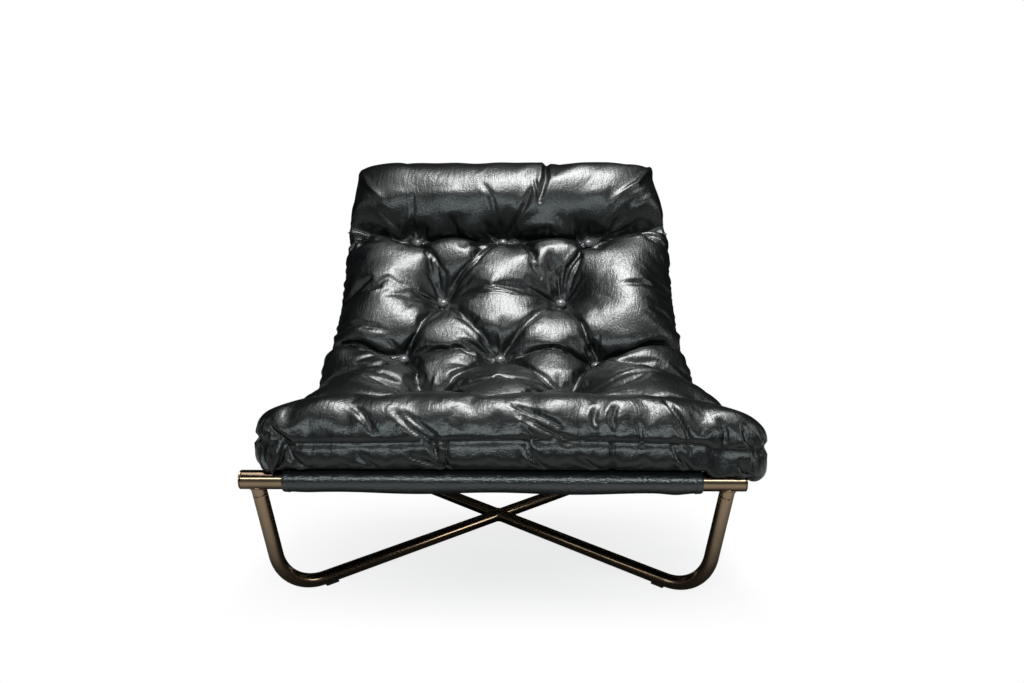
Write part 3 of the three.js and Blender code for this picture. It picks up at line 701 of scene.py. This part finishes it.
def add_sling():
    line = sling_line()
    tangent = path_tangents(line)
    normal = np.stack([-tangent[:, 1], tangent[:, 0]], -1)
    inner = np.linspace(-SLING_HALF + HEM_WIDTH, SLING_HALF - HEM_WIDTH, SLING_STATIONS[1])
    hem = np.array(HEM_STATIONS)
    columns = np.concatenate([-SLING_HALF + hem, inner, (SLING_HALF - hem)[::-1]])
    from_side = SLING_HALF - np.abs(columns)
    thickness = SLING_LEATHER + HEM_EXTRA * (1 - ease(from_side, HEM_WIDTH - HEM_ROUND, HEM_WIDTH))
    thickness *= HEM_EDGE_SHARE + (1 - HEM_EDGE_SHARE) * np.sqrt(np.clip(from_side / HEM_ROUND, 0, 1))
    at_front = line[:, 0] < FRONT_RAIL.y + SLACK_DEPTH
    below = np.clip((FRONT_RAIL.z - line[:, 1]) / RAIL_RADIUS, 0, 1) * at_front
    drop = below[:, None] * sleeve_slack(columns)[None, :]
    faces = []
    points = []
    for sign in (1, -1):
        offset = sign * thickness[None, :, None] / 2 * normal[:, None, :]
        side = line[:, None, :] + offset
        side[..., 1] -= drop
        places = np.broadcast_to(columns[None, :, None] + MIDDLE_X, (*side.shape[:2], 1))
        grid = np.concatenate([places, side], -1)
        if sign > 0:
            add_hem_stitches(grid, columns)
        start = sum(len(part) for part in points)
        points.append(grid.reshape(-1, 3))
        quads = grid_faces(len(line), len(columns), start=start)
        faces += [quad[::sign] for quad in quads]
    faces += rim_faces(len(line), len(columns))
    points = np.concatenate(points)
    piece = add_mesh("sling_sheet", points, faces, SLING_SKIN, ["sling"])
    walked = walked_along(line)
    plan = np.zeros((len(line), len(columns), 3))
    plan[..., 1] = columns[None, :]
    plan[..., 2] = walked[:, None]
    add_plan(piece, np.concatenate([plan.reshape(-1, 3)] * 2))


def add_hem_stitches(grid, columns):
    """A row of stitches along the hem of each side, on the sling's outer face."""
    for hand, name in HANDS:
        line = grid[:, np.abs(columns - hand * (SLING_HALF - STITCH_INSET)).argmin()]
        walked = walked_along(line)
        points, faces = [], []
        for start in np.arange(STITCH_PITCH, walked[-1] - STITCH_PITCH, STITCH_PITCH):
            stations = start + STITCH_LENGTH * STITCH_STATIONS
            places = np.stack([np.interp(stations, walked, part) for part in line.T], -1)
            radii = STITCH_RADIUS * STITCH_TAPER
            rings = rings_along(places, path_tangents(places), radii, STITCH_SEGMENTS)
            faces += grid_faces(len(rings), STITCH_SEGMENTS, True, start=len(points))
            points += list(rings.reshape(-1, 3))
        add_mesh(f"sling_stitches_{name}", points, faces, THREAD)


def rim_of(grid):
    """The points round a grid's rim, in order."""
    return np.concatenate([grid[0], grid[1:, -1], grid[-1, -2::-1], grid[-2:0:-1, 0]])


def rim_faces(rows, columns):
    """Faces that close the rim between two grids of one size, the second after the first."""
    edge = rim_of(np.arange(rows * columns).reshape(rows, columns))
    before = np.roll(edge, 1)
    other = rows * columns
    return list(zip(before, other + before, other + edge, edge))


# Cushion


def left_bulge(along):
    """How far the cover stands out at the left: beside the head row and beside the middle row."""
    return LEFT_BULGE * sum(bell(along, place, reach) for place, reach in LEFT_BULGES)


def right_notch(along):
    """How far the cover stands back at the right, behind the front roll."""
    return bell(along, *RIGHT_NOTCH)


def front_to_head(along, at_front, at_back, head_change):
    """A measure across the plan: it changes from the front to the waist, and gets less at the head."""
    share = ease(along, FRONT_EDGE, FRONT_EDGE + WAIST_DISTANCE)
    change = head_change * ease(along, HEAD_EDGE - HEAD_REACH, HEAD_EDGE)
    return at_front + (at_back - at_front) * share - change


def half_width(along):
    half = front_to_head(along, FRONT_WIDTH / 2, BACK_WIDTH / 2, HEAD_NARROWING)
    return half + left_bulge(along) - right_notch(along)


def drift(along):
    middle = front_to_head(along, FRONT_DRIFT, BACK_DRIFT, HEAD_SHIFT)
    return middle - left_bulge(along) - right_notch(along)


def fullness(along):
    """Power of the top edge's curve, 2 for an ellipse. The front's edges are boxy."""
    at_front = 1 - ease(along, *FRONT_ZONE)
    return EDGE_POWER + FRONT_POWER * at_front + ease(along, *HEAD_POWER)


def under_fullness(along):
    """Power of the lower edge's curve. The front border stands upright."""
    return fullness(along) + BORDER_POWER * (1 - ease(along, *FRONT_ZONE))


def rise(distance, power):
    """How far an edge has risen at a distance from its seam, from 0 to 1."""
    rest = 1 - np.clip(distance / ROUNDING, 0, 1)
    return (1 - rest**power) ** (1 / power)


def even_places(length, power):
    """Places across a rounded form at even steps over its surface, edge to edge, and the step."""
    turn = np.linspace(0, math.pi / 2, 400)
    place = np.append(ROUNDING * (1 - np.cos(turn) ** (2 / power)), length / 2)
    height = SEAM_HEIGHT * rise(place, power)
    walked = np.concatenate([[0], np.cumsum(np.hypot(np.diff(place), np.diff(height)))])
    count = round(walked[-1] / CLOTH_SPACING)
    half = np.interp(np.linspace(0, walked[-1], count + 1), walked, place)
    return np.concatenate([half, length - half[-2::-1]]), walked[-1] / count


TUFTS = np.array([(along, across) for _, along, row in TUFT_ROWS for across in row])
MIDDLE_ROW = TUFT_ROWS[2][1]
HEAD_ROW = TUFT_ROWS[0][1]


def cushion_plan():
    """Plan of the cover's points: along, across, and the way walked over the cover from the front seam.

    Also how far the edge has risen there, from 0 to 1, for the top and for the underside.
    """
    places, step = even_places(HEAD_EDGE - FRONT_EDGE, SPACING_POWERS[0])
    share = even_places(BACK_WIDTH, SPACING_POWERS[1])[0] / BACK_WIDTH
    walk = np.repeat((np.arange(len(places)) * step)[:, None], len(share), 1)
    along = np.repeat((FRONT_EDGE + places)[:, None], len(share), 1)
    half, middle = half_width(along), drift(along)
    across = middle - half + 2 * half * share[None, :]
    from_end = along - FRONT_EDGE
    from_head = HEAD_EDGE - along
    from_side = half - np.abs(across - middle)

    # The two front corners are round: rings of the grid's corner squares go onto arcs.
    corner = (from_end < ROUNDING) & (from_side < ROUNDING)
    ring = np.minimum(from_end, from_side)
    edges = []
    for power in (fullness(along), under_fullness(along)):
        square = rise(from_end, power) * rise(from_head, power) * rise(from_side, power)
        edges.append(np.where(corner, rise(ring, power), square))
    reach = np.maximum(ROUNDING - ring, 1e-6)
    by_side = (ROUNDING - from_end) / reach
    by_end = 2 - (ROUNDING - from_side) / reach
    turn = np.where(from_side <= from_end, by_side, by_end) * math.pi / 4
    hand = np.sign(across - middle)
    across = np.where(corner, middle + hand * (half - ROUNDING + reach * np.cos(turn)), across)
    along = np.where(corner, FRONT_EDGE + ROUNDING - reach * np.sin(turn), along)
    return along, across, walk, edges


def row_line(row_along, across):
    """Where the crease along a row of three lies. It turns to the head at both sides."""
    return row_along + ease(np.abs(across), *ROW_TURN)


def line_distance(along, across, first, second):
    """Distance to the line between two places of the plan, and the share of the way along it."""
    run = np.subtract(second, first)
    to_along, to_across = along - first[0], across - first[1]
    share = np.clip((to_along * run[0] + to_across * run[1]) / (run @ run), 0, 1)
    return np.hypot(to_along - share * run[0], to_across - share * run[1]), share


def tuft_pairs():
    """Neighbours that a pleat runs between: in a row, and from row to row."""
    pairs = itertools.combinations(map(tuple, TUFTS.tolist()), 2)
    return [pair for pair in pairs if math.dist(*pair) < PLEAT_REACH and pair != UNPLEATED]


def seam_height(along, across):
    """Height of the seam. It bows up along the front and comes down at the head."""
    bow = SEAM_BOW + bell(across, *SEAM_BOW_MORE)
    at_front = 1 - ease(along, FRONT_EDGE, SEAM_BOW_END)
    return SEAM_HEIGHT + bow * at_front - ease(along, *SEAM_HEAD_FALL)


def over_cushion(along, across, height):
    """Points at a height over the sling. The cushion's front hangs down over its rail."""
    points = over_sling(along, across, height)
    points[..., 2] -= FRONT_DROOP * np.minimum(along, 0) ** 2
    past_sling = ease(np.abs(across), *np.add(SLING_HALF, PAST_SLING))
    past_rail = ease(across, *np.add(FRONT_RAIL_END, PAST_RAIL))
    off_rail = 1 - bell(along, 0, RAIL_BED)
    sag = (CORNER_SAG + CORNER_HANG * off_rail) * past_sling + CORNER_DROP * past_rail
    points[..., 2] -= sag * (1 - ease(along, *CORNER_ZONE)) * (1 - ease(height, *CORNER_HEIGHTS))
    return points


def tuft_height(along, across):
    """Height of the cover at a button. The middle row lies less deep, all but its right button."""
    lift = MIDDLE_ROW_LIFT * (1 - ease(across, *MIDDLE_ROW_LIFT_END))
    return TUFT_HEIGHT + lift * bell(along, MIDDLE_ROW, MIDDLE_ROW_REACH)


def cover_start(along, across, edge):
    """Heights of the top before it is blown up, and the distance to the nearest tuft."""
    to_side = half_width(along) - np.abs(across - drift(along))
    to_roll = HEAD_ROLL_AT_SIDES + (1 - HEAD_ROLL_AT_SIDES) * ease(to_side, *HEAD_ROLL_SIDES)
    head_roll = ease(along, *HEAD_ROLL) * to_roll
    taper = np.where(across > drift(along), FRONT_TAPER_RIGHT, FRONT_TAPER_LEFT)
    right_end = ease(across, *SHOULDER_ZONE) * (1 - ease(to_side, 0.0, SHOULDER_DEPTH))
    front_roll = FRONT_ROLL * ease(to_side, FRONT_TAPER_START, taper) - SHOULDER_FALL * right_end
    front_roll *= 1 - ease(along, *FRONT_ROLL_ZONE)
    crown = START_CROWN + head_roll + front_roll - bell(along, *SEAT_HOLLOW)
    crown -= SIDE_DIP * right_end * bell(along, *SIDE_DIP_PLACE)
    top = crown
    for first, second in tuft_pairs():
        distance, share = line_distance(along, across, first, second)
        depth = PLEAT_DEPTH + PLEAT_END_DEPTH * (2 * share - 1) ** 2
        top = np.minimum(top, crown - depth * bell(distance, 0, PLEAT_WIDTH))
    for name, row_along, _ in TUFT_ROWS[::2]:
        depth = HEAD_CREASE if name == "head" else ease(np.abs(across), *ROW_CREASE)
        top = np.minimum(top, crown - depth * bell(along, row_line(row_along, across), CREASE_WIDTH))
    tuft = np.hypot(along[..., None] - TUFTS[:, 0], across[..., None] - TUFTS[:, 1]).min(-1)
    top = top + (tuft_height(along, across) - top) * bell(tuft, 0, TUFT_PIT)
    top += WAVE_HEIGHT * slow_waves(along, across) * np.clip(tuft / WAVE_CLEARANCE, 0, 1)
    seam = seam_height(along, across)
    return seam + (top - seam) * edge, tuft


def slow_waves(along, across):
    """Uneven filling: a sum of long waves in many directions."""
    chance = np.random.default_rng(WAVE_SEED)
    field = np.zeros(along.shape)
    for _ in range(WAVE_COUNT):
        wave = chance.uniform(*WAVE_NUMBERS)
        way = chance.uniform(0, 2 * math.pi)
        start = chance.uniform(0, 2 * math.pi)
        field += np.sin(wave * (along * math.cos(way) + across * math.sin(way)) + start)
    return field / math.sqrt(WAVE_COUNT)


def blow_up(piece, pinned, taut):
    """Lets the cover find its form over its filling: pressure from inside, held where it is sewn."""
    held = piece.vertex_groups.new(name="held")
    held.add(np.flatnonzero(pinned).tolist(), 1.0, "REPLACE")
    tight = piece.vertex_groups.new(name="tight")
    for index in np.flatnonzero(taut > TIGHT_LEAST).tolist():
        tight.add([index], float(taut[index]), "REPLACE")
    cloth = piece.modifiers.new("Cloth", "CLOTH")
    settings = cloth.settings
    for name, value in CLOTH_SETTINGS.items():
        setattr(settings, name, value)
    settings.effector_weights.gravity = 0
    cloth.collision_settings.use_collision = False
    cloth.point_cache.frame_start = 1
    cloth.point_cache.frame_end = CLOTH_FRAMES
    for number in range(1, CLOTH_FRAMES + 1):
        scene.frame_set(number)
    shaped = piece.evaluated_get(bpy.context.evaluated_depsgraph_get())
    places = np.zeros(len(piece.data.vertices) * 3)
    shaped.data.vertices.foreach_get("co", places)
    piece.modifiers.remove(cloth)
    piece.vertex_groups.clear()
    scene.frame_set(1)
    piece.data.vertices.foreach_set("co", places)
    piece.data.update()


def refine(piece):
    """Divides each face of the cover in four, smoothly, for the small folds."""
    smooth = piece.modifiers.new("Smooth", "SUBSURF")
    smooth.levels = 1
    shaped = piece.evaluated_get(bpy.context.evaluated_depsgraph_get())
    fine = bpy.data.meshes.new_from_object(shaped)
    piece.modifiers.remove(smooth)
    piece.data = fine


def add_cushion():
    along, across, walk, (edge, under_edge) = cushion_plan()
    rows, columns = along.shape
    top, tuft = cover_start(along, across, edge)
    seam = seam_height(along, across)
    under = seam + (UNDERSIDE - seam) * under_edge
    ear = ear_lift(along, across)
    top, under = top + ear, under + ear
    rim = np.ones(top.shape, bool)
    rim[1:-1, 1:-1] = False
    upper = np.arange(rows * columns).reshape(rows, columns)
    lower = upper.copy()
    lower[~rim] = rows * columns + np.arange((~rim).sum())
    over = over_cushion(along + ear, across, top)
    below = over_cushion(along + ear, across, under)
    points = np.concatenate([over.reshape(-1, 3), below[~rim]])
    quads = np.array(grid_faces(rows, columns))
    faces = np.concatenate([quads, lower.reshape(-1)[quads][:, ::-1]])
    piece = add_mesh("cushion", points, faces, CUSHION_SKIN, CUSHION_NODES)

    plan = np.zeros((len(points), 3))
    plan[upper] = np.stack([along, across, walk], -1)
    plan[lower[~rim]] = np.stack([along, across, -walk], -1)[~rim]
    add_plan(piece, plan)

    from_crease = np.abs(along - row_line(HEAD_ROW, across))
    on_crease = from_crease == from_crease.min(0)
    pinned = np.zeros(len(points), bool)
    pinned[upper[rim | (tuft < HELD_TUFT) | on_crease]] = True
    pinned[lower[~rim & (under_edge > HELD_EDGE)]] = True
    taut = np.zeros(len(points))
    taut[upper] = ease(along, *TIGHT_HEAD) + TIGHT_FRONT * (1 - ease(along, *TIGHT_FRONT_ZONE))
    taut[lower[~rim]] = TIGHT_UNDERSIDE
    blow_up(piece, pinned, taut)
    refine(piece)
    border_rows = (under_edge < HELD_EDGE).argmin(0) + 2
    border_columns = [np.abs(across[0] - place).argmin() for place in BORDER_SEAMS]
    uprights = [lower[: border_rows[column], column] for column in border_columns]
    finish_cover(piece, rim_of(upper), uprights)


def ear_lift(along, across):
    """The head's corners stand up as ears, the right one higher."""
    lift = np.zeros(along.shape)
    for hand, height in EARS:
        corner = drift(HEAD_EDGE) + hand * half_width(HEAD_EDGE)
        lift += height * bell(np.hypot(along - HEAD_EDGE, across - corner), 0, EAR_REACH)
    return lift


def mesh_array(items, name, width):
    values = np.zeros(len(items) * width)
    items.foreach_get(name, values)
    return values.reshape(-1, width)


def nearest(points, targets):
    """Distance from each point to the nearest of the targets, and which one that is."""
    tree = KDTree(len(targets))
    for index, target in enumerate(targets):
        tree.insert(target, index)
    tree.balance()
    found = [tree.find(point)[1:] for point in points]
    return np.array([distance for _, distance in found]), np.array([index for index, _ in found])


def dense(line, closed):
    """A line of points with four times as many."""
    line = np.concatenate([line, line[:1]]) if closed else line
    shares = np.linspace(0, 1, 4, endpoint=False)[None, :, None]
    return (line[:-1, None] + shares * (line[1:, None] - line[:-1, None])).reshape(-1, 3)


def press_fold(shift, walk, across, line, width, depth, lip):
    """A fold along a line of the plan: a valley that fades at its ends, with a lip on one hand of it."""
    line = np.asarray(line)
    low, high = line.min(0) - FOLD_REACH * width, line.max(0) + FOLD_REACH * width
    inside = (walk > low[0]) & (walk < high[0]) & (across > low[1]) & (across < high[1])
    near = np.flatnonzero(inside)
    walk, across = walk[near], across[near]
    lengths = [math.dist(first, second) for first, second in zip(line, line[1:])]
    best = np.full(len(near), 1.0)
    share = np.zeros(len(near))
    hand = np.zeros(len(near))
    walked = 0.0
    for first, second, length in zip(line, line[1:], lengths):
        distance, part = line_distance(walk, across, first, second)
        run = second - first
        turn = run[0] * (across - first[1]) - run[1] * (walk - first[0])
        closer = distance < best
        best = np.where(closer, distance, best)
        share = np.where(closer, (walked + part * length) / sum(lengths), share)
        hand = np.where(closer, np.sign(turn), hand)
        walked += length
    fade = np.sqrt(np.sin(math.pi * np.clip(share, *FOLD_FADE)))
    valley = -depth * bell(best, 0, width)
    ridge = lip * bell(best * hand, LIP_PLACE * width, LIP_WIDTH * width)
    shift[near] += fade * (valley + ridge)


def tuft_folds():
    """Small folds that the cover gathers into round each button."""
    chance = np.random.default_rng(FOLD_SEED)
    folds = []
    for along, across in TUFTS:
        turns = np.arange(TUFT_FOLDS) * 2 * math.pi / TUFT_FOLDS
        for turn in turns + chance.uniform(-TUFT_FOLD_TURN, TUFT_FOLD_TURN, TUFT_FOLDS):
            way = np.array((math.cos(turn), math.sin(turn)))
            bow = np.array((-way[1], way[0])) * chance.uniform(-TUFT_FOLD_BOW, TUFT_FOLD_BOW)
            reach = chance.uniform(*TUFT_FOLD_REACHES)
            centre = np.array((along, across))
            middle = centre + way * reach * TUFT_FOLD_BEND + bow
            line = [centre + way * TUFT_FOLD_START, middle, centre + way * reach]
            width = chance.uniform(*TUFT_FOLD_WIDTHS)
            depth = chance.uniform(*TUFT_FOLD_DEPTHS)
            folds.append((line, width, depth, TUFT_FOLD_LIP))
    return folds


def puckers(count):
    """Uneven pull of the thread along a seam, from point to point."""
    pull = np.random.default_rng(PUCKER_SEED).normal(size=count + 2 * PUCKER_RUN)
    shares = bell(np.arange(-PUCKER_RUN, PUCKER_RUN + 1), 0, PUCKER_SMOOTHING)
    pull = np.convolve(pull, shares, "valid")
    return pull / pull.std()


def finish_cover(piece, around, uprights):
    """Folds, and the seams: the cover puckers and dips to each, and a thin dark matte bead lies in the
    dip, painted shade for the seam's gap.
    """
    mesh = piece.data
    places = mesh_array(mesh.vertices, "co", 3)
    normals = mesh_array(mesh.vertices, "normal", 3)
    along, across, walk = mesh_array(mesh.attributes["plan"].data, "vector", 3).T
    shift = np.zeros(len(places))
    for fold in tuft_folds():
        press_fold(shift, np.where(walk > 0, along, -1.0), across, *fold)
    for fold in FOLDS:
        *line, width, depth, lip = np.divide(fold, PER_METRE)
        press_fold(shift, walk, across, np.reshape(line, (-1, 2)), width, depth, lip)

    corner = (1 - ease(along, *PUCKER_FRONT)) * ease(np.abs(across - drift(along)), *PUCKER_CORNER)
    seams = [("seam", around, True)]
    seams += [(f"border_seam_{number}", line, False) for number, line in enumerate(uprights)]
    for name, line, closed in seams:
        seam = dense(places[line], closed)
        distance, index = nearest(places, seam)
        if closed:
            reach = np.clip(distance / PUCKER_START, 0, 1) * bell(distance, 0, PUCKER_REACH)
            shift += (PUCKER + CORNER_PUCKER * corner) * reach * puckers(len(seam))[index]
        shift -= SEAM_DIP * bell(distance, 0, SEAM_DIP_WIDTH)
        # Painted shade: the bead in the seam's dip stands for the dark gap between the leather edges
        shade_bead = places[line] + normals[line] * (0.1 * SHADE_BEAD_RADIUS - SEAM_DIP)
        add_bead(f"cushion_{name}", shade_bead, SHADE_BEAD_RADIUS, SEAM_GAP_SHADE, closed)
    places += shift[:, None] * normals
    mesh.vertices.foreach_set("co", places.reshape(-1))
    mesh.update()


# The one pair of neighbours without a pleat: the head row's middle and the upper row's right
UNPLEATED = ((0.906, 0.0), (0.720, 0.141))

# Folds of the cover, in millimetres: places on it, as the way walked from the front seam and across,
# then width, depth and lip
PER_METRE = 1000
FOLDS = [
    # Head roll: the notch in its top, the ridges to its two ears, and slacker folds below
    (1215, 112, 1120, 107, 1056, 92, 6.5, 14, 2.2),
    (1112, 80, 1080, 86, 1056, 89, 4, 6, 1.7),
    (1215, 396, 1108, 336, 1055, 268, 7, -7, 0),
    (1090, 372, 1060, 330, 1030, 285, 10, 5, 0),
    (1205, -386, 1110, -340, 1060, -300, 7, -5, 0),
    (1045, -313, 1017, -268, 995, -237, 7.5, 5, 1.1),
    (1084, 71, 1052, 58, 1025, 38, 6, 6, 1.7),
    (1040, 324, 1022, 284, 1000, 252, 7, 5, 1.1),
    (1070, -225, 1045, -222, 1010, -226, 5, 4, 1.1),
    (1100, -50, 1070, -30, 1020, -12, 7, 4, 1.1),
    # Laps of the head row's crease at both sides
    (968, -392, 962, -335, 966, -265, 5, 6, 2.2),
    (930, -392, 938, -350, 930, -300, 6, 5, 1.7),
    (962, 250, 985, 320, 990, 402, 5, 6, 2.2),
    (955, 310, 965, 350, 962, 400, 5, 4, 1.7),
    # Pleats between the head row and the upper row
    (955, -206, 885, -158, 812, -143, 5, 7, 2.2),
    (905, -168, 855, -137, 812, -138, 4.2, 6, 2.2),
    (945, -12, 865, -58, 806, -124, 5, 6, 2.2),
    (950, 212, 870, 160, 808, 147, 5.5, 8, 2.8),
    (905, 198, 855, 174, 818, 158, 4.2, 6, 2.2),
    (796, -120, 774, -35, 768, 40, 786, 120, 6, 6, 2.2),
    # Folds from the sides to the upper and the middle row
    (775, -392, 775, -345, 786, -270, 8, 6, 1.7),
    (805, 404, 795, 350, 792, 280, 8, 5, 1.1),
    (640, -388, 620, -310, 590, -238, 8, 7, 2.2),
    (690, -388, 680, -330, 655, -260, 7, 4, 1.1),
    (620, 402, 610, 320, 588, 240, 8, 6, 1.7),
    (480, 410, 470, 340, 430, 240, 8, 6, 1.7),
    (440, 415, 435, 350, 410, 240, 7, 5, 1.7),
    # Front roll and border: three clusters of folds that cross the seam
    (50, -162, 20, -128, 0, -97, -48, -62, 4.5, 7.8, 3.3),
    (48, -146, 26, -116, 4, -88, 4, 6.5, 3.3),
    (-10, -136, -27, -98, -48, -64, 4, 6.5, 2.5),
    (60, 36, 40, 80, 22, 112, 4.5, 9.1, 3.3),
    (46, 42, 20, 86, 0, 124, 4.5, 7.8, 3.3),
    (28, 52, 12, 63, -2, 76, 3.6, 5.2, 2.5),
    (2, 50, -18, 71, -42, 88, 4.2, 6.5, 3.3),
    (80, 288, 38, 310, -2, 323, 5, 10.4, 4.2),
    (40, 296, 14, 309, -2, 314, 3.6, 6.5, 2.5),
    (2, 294, -20, 310, -46, 323, 4.5, 7.8, 3.3),
    (32, 238, 13, 243, -2, 243, 3.5, 5.2, 2.5),
    (60, 205, 38, 196, 22, 200, 5, 6.5, 2.5),
    (55, 170, 36, 166, 24, 172, 4.5, 5.2, 2.5),
    (60, -230, 40, -210, 15, -190, 5, 5.2, 2.5),
    (-10, -215, -24, -200, -38, -190, 5, 5.2, 2.5),
    (-12, 140, -28, 160, -42, 175, 5.5, 5.2, 2.5),
    # Front corners
    (0, -333, -22, -318, -46, -298, 4.5, 7.8, 3.3),
    (0, -338, -26, -350, -48, -356, 4.5, 9.1, 3.3),
    (-8, -378, -28, -371, -46, -362, 4, 7.8, 3.3),
    (-2, -332, 16, -350, 36, -370, 4.5, 7.8, 3.3),
    (-6, 400, -30, 416, -50, 432, 4.5, 7.8, 3.3),
    (40, 410, 18, 414, 0, 424, 4.5, 7.8, 3.3),
    (50, 372, 30, 380, 6, 378, 4.5, 6.5, 2.5),
]

BORDER_NODES = [f"front_border_{place}" for place in ("left", "middle", "right")]
CUSHION_NODES = [f"cushion_{part}" for part in ("top_cover", "bottom_cover", *BORDER_NODES, "filling")]


def add_buttons():
    form = [(0.0, 0.35), (BUTTON_RIM / 2, 0.85), (BUTTON_RIM, 1.0)]
    for turn in np.linspace(0.12, math.pi / 2 - 0.02, 9):
        form.append((BUTTON_RIM + BUTTON_DOME * math.sin(turn), math.cos(turn)))
    profile = [(height, BUTTON_RADIUS * share) for height, share in form]
    for name, along, row in TUFT_ROWS:
        for across, place in zip(row, PLACE_NAMES[len(row)]):
            foot = over_sling(np.float64(along), across, tuft_height(along, across) + BUTTON_RIM)
            up = unit(over_sling(np.float64(along), across, 1.0) - foot)
            rings = turned_rings(foot, up, profile, BUTTON_SEGMENTS)
            piece = add_tube(f"button_{name}_{place}", rings, [f"tuft_button_{name}_{place}"])
            piece.data.materials[0] = BUTTON_SKIN


# Studio

FLOOR_REACH = 14.0
FLOOR_NOISE = (3.0, 3.0)
FLOOR_TONES = (0.90, 0.92)
SHADOW_MIDDLE = (0.03, -0.28, 0.0)
SHADOW_REACH = (1.4, 0.62, 1.0)
WHITE_SHARES = ((0.74, 1.0), (0.0, 0.6))
# Painted shadow under the chair, for all but camera rays: distances from the chair's middle, and the
# floor's shade from right below to further off
PAINTED_FLOOR_SHADOW = ((0.08, 0.42), (0.30, 0.90))
FILL = (0.90, 0.96, 1.0, 1)
FILL_STRENGTH = 0.015
COOL = (0.88, 0.97, 1.0)
LIGHTS = [
    ("overhead", (0.16, 0.0, 2.3), (0.06, 0.08, 0.4), (1.1, 0.6), 64, (1, 1, 1)),
    ("ceiling", (0.1, -0.15, 2.7), (0.05, 0.0, 0.3), (3.0, 2.0), 48, (1, 1, 1)),
    ("wall", (0.05, -2.6, 1.15), (0, -0.3, 0.80), (3.4, 2.1), 4, COOL),
    ("front", (0.05, -2.5, 1.65), (0, -0.4, 0.25), (3.4, 0.4), 38, COOL),
    ("left", (-2.1, -0.9, 1.2), (0, 0, 0.4), (0.4, 1.6), 4, (1, 1, 1)),
    ("right", (2.2, -0.7, 1.2), (0, 0, 0.4), (0.4, 1.6), 11, (1, 1, 1)),
]
LENS = 27.98
SENSOR = 36.0
CAMERA_PITCH = math.radians(12.0)
CAMERA_YAW = math.radians(-0.74)
CAMERA_PLACE = (MIDDLE_X + 0.049, FRONT_RAIL.y - 1.246, 0.735)


def aim(item, way):
    item.rotation_mode = "QUATERNION"
    item.rotation_quaternion = way.to_track_quat("-Z", "Y")


def add_light(name, place, target, size, power, colour):
    light = bpy.data.lights.new(name, "AREA")
    light.shape = "RECTANGLE"
    light.size, light.size_y = size
    light.energy = power
    light.color = colour
    lamp = add_object(name, light)
    lamp.location = place
    aim(lamp, Vector(target) - Vector(place))


def show(tree, output, share, first, second):
    """Shows a blend of two shaders at a tree's output."""
    blend = add_node(tree, "ShaderNodeMixShader", {0: share, 1: first, 2: second})
    feed(tree, tree.nodes[output], {"Surface": blend["Shader"]})


def add_floor():
    """A pale floor that takes the shadow near the chair and goes over into the white further off."""
    mesh = bpy.data.meshes.new("floor")
    hands = ((-1, -1), (1, -1), (1, 1), (-1, 1))
    corners = [(x * FLOOR_REACH, y * FLOOR_REACH, 0) for x, y in hands]
    mesh.from_pydata(corners, [], [(0, 1, 2, 3)])
    material, tree, shader = new_material("floor")
    place = object_place(tree)
    cloud = add_noise(tree, place, *FLOOR_NOISE)["Fac"]
    tone = add_mix(tree, "RGBA", cloud, *[(shade, shade, shade, 1) for shade in FLOOR_TONES])
    inputs = {"Vector": place, "Location": SHADOW_MIDDLE, "Scale": SHADOW_REACH}
    middle = add_node(tree, "ShaderNodeMapping", inputs, vector_type="TEXTURE")["Vector"]
    length = add_node(tree, "ShaderNodeVectorMath", {0: middle}, operation="LENGTH")["Value"]

    # Painted shadow under the chair: for all but camera rays the floor is darker right below it, so the
    # chair takes little light back from there
    ray = camera_ray(tree)
    below = add_range(tree, length, *PAINTED_FLOOR_SHADOW, "SMOOTHSTEP")
    painted_shadow_colour = add_mix(tree, "RGBA", ray, below, tone)
    feed(tree, shader, {"Base Color": painted_shadow_colour, "Roughness": 0.9, "Specular IOR Level": 0.1})

    far = add_range(tree, length, *WHITE_SHARES, "SMOOTHSTEP")
    seen = add_node(tree, "ShaderNodeMath", {0: far, 1: ray}, operation="MULTIPLY")["Value"]
    white = add_node(tree, "ShaderNodeEmission", {"Strength": 1.0})["Emission"]
    show(tree, "Material Output", seen, shader.outputs["BSDF"], white)
    mesh.materials.append(material)
    floor = add_object("floor", mesh)


def add_world():
    """A dim room round the chair. The camera sees white instead."""
    world = bpy.data.worlds.new("studio")
    scene.world = world
    world.use_nodes = True
    tree = world.node_tree
    fill = tree.nodes["Background"]
    feed(tree, fill, {"Color": FILL, "Strength": FILL_STRENGTH})
    white = add_node(tree, "ShaderNodeBackground", {"Color": (1, 1, 1, 1), "Strength": 1.0})
    show(tree, "World Output", camera_ray(tree), fill.outputs["Background"], white["Background"])


def add_camera():
    camera = add_object("camera", bpy.data.cameras.new("camera"))
    scene.camera = camera
    camera.data.sensor_width = SENSOR
    camera.data.lens = LENS
    camera.location = CAMERA_PLACE
    level = math.cos(CAMERA_PITCH)
    ahead = (math.sin(CAMERA_YAW) * level, math.cos(CAMERA_YAW) * level, -math.sin(CAMERA_PITCH))
    aim(camera, Vector(ahead))


FINISHES = {
    "grub_screw": (STEEL, "fixing_steel"),
    "floor_glide": (GLIDE, "glide_plastic"),
    "tuft_tie": (TWINE, "twine"),
}


def finish_nodes():
    """Finishes for the solids that stay in view."""
    for name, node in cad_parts.items():
        for start, (finish, slot) in FINISHES.items():
            if name.startswith(start):
                node.data.materials.clear()
                node.data.materials.append(finish)


add_frame()
add_sling()
add_cushion()
add_buttons()
finish_nodes()
add_floor()
add_world()
for light in LIGHTS:
    add_light(*light)
add_camera()
scene.view_settings.view_transform = "Standard"
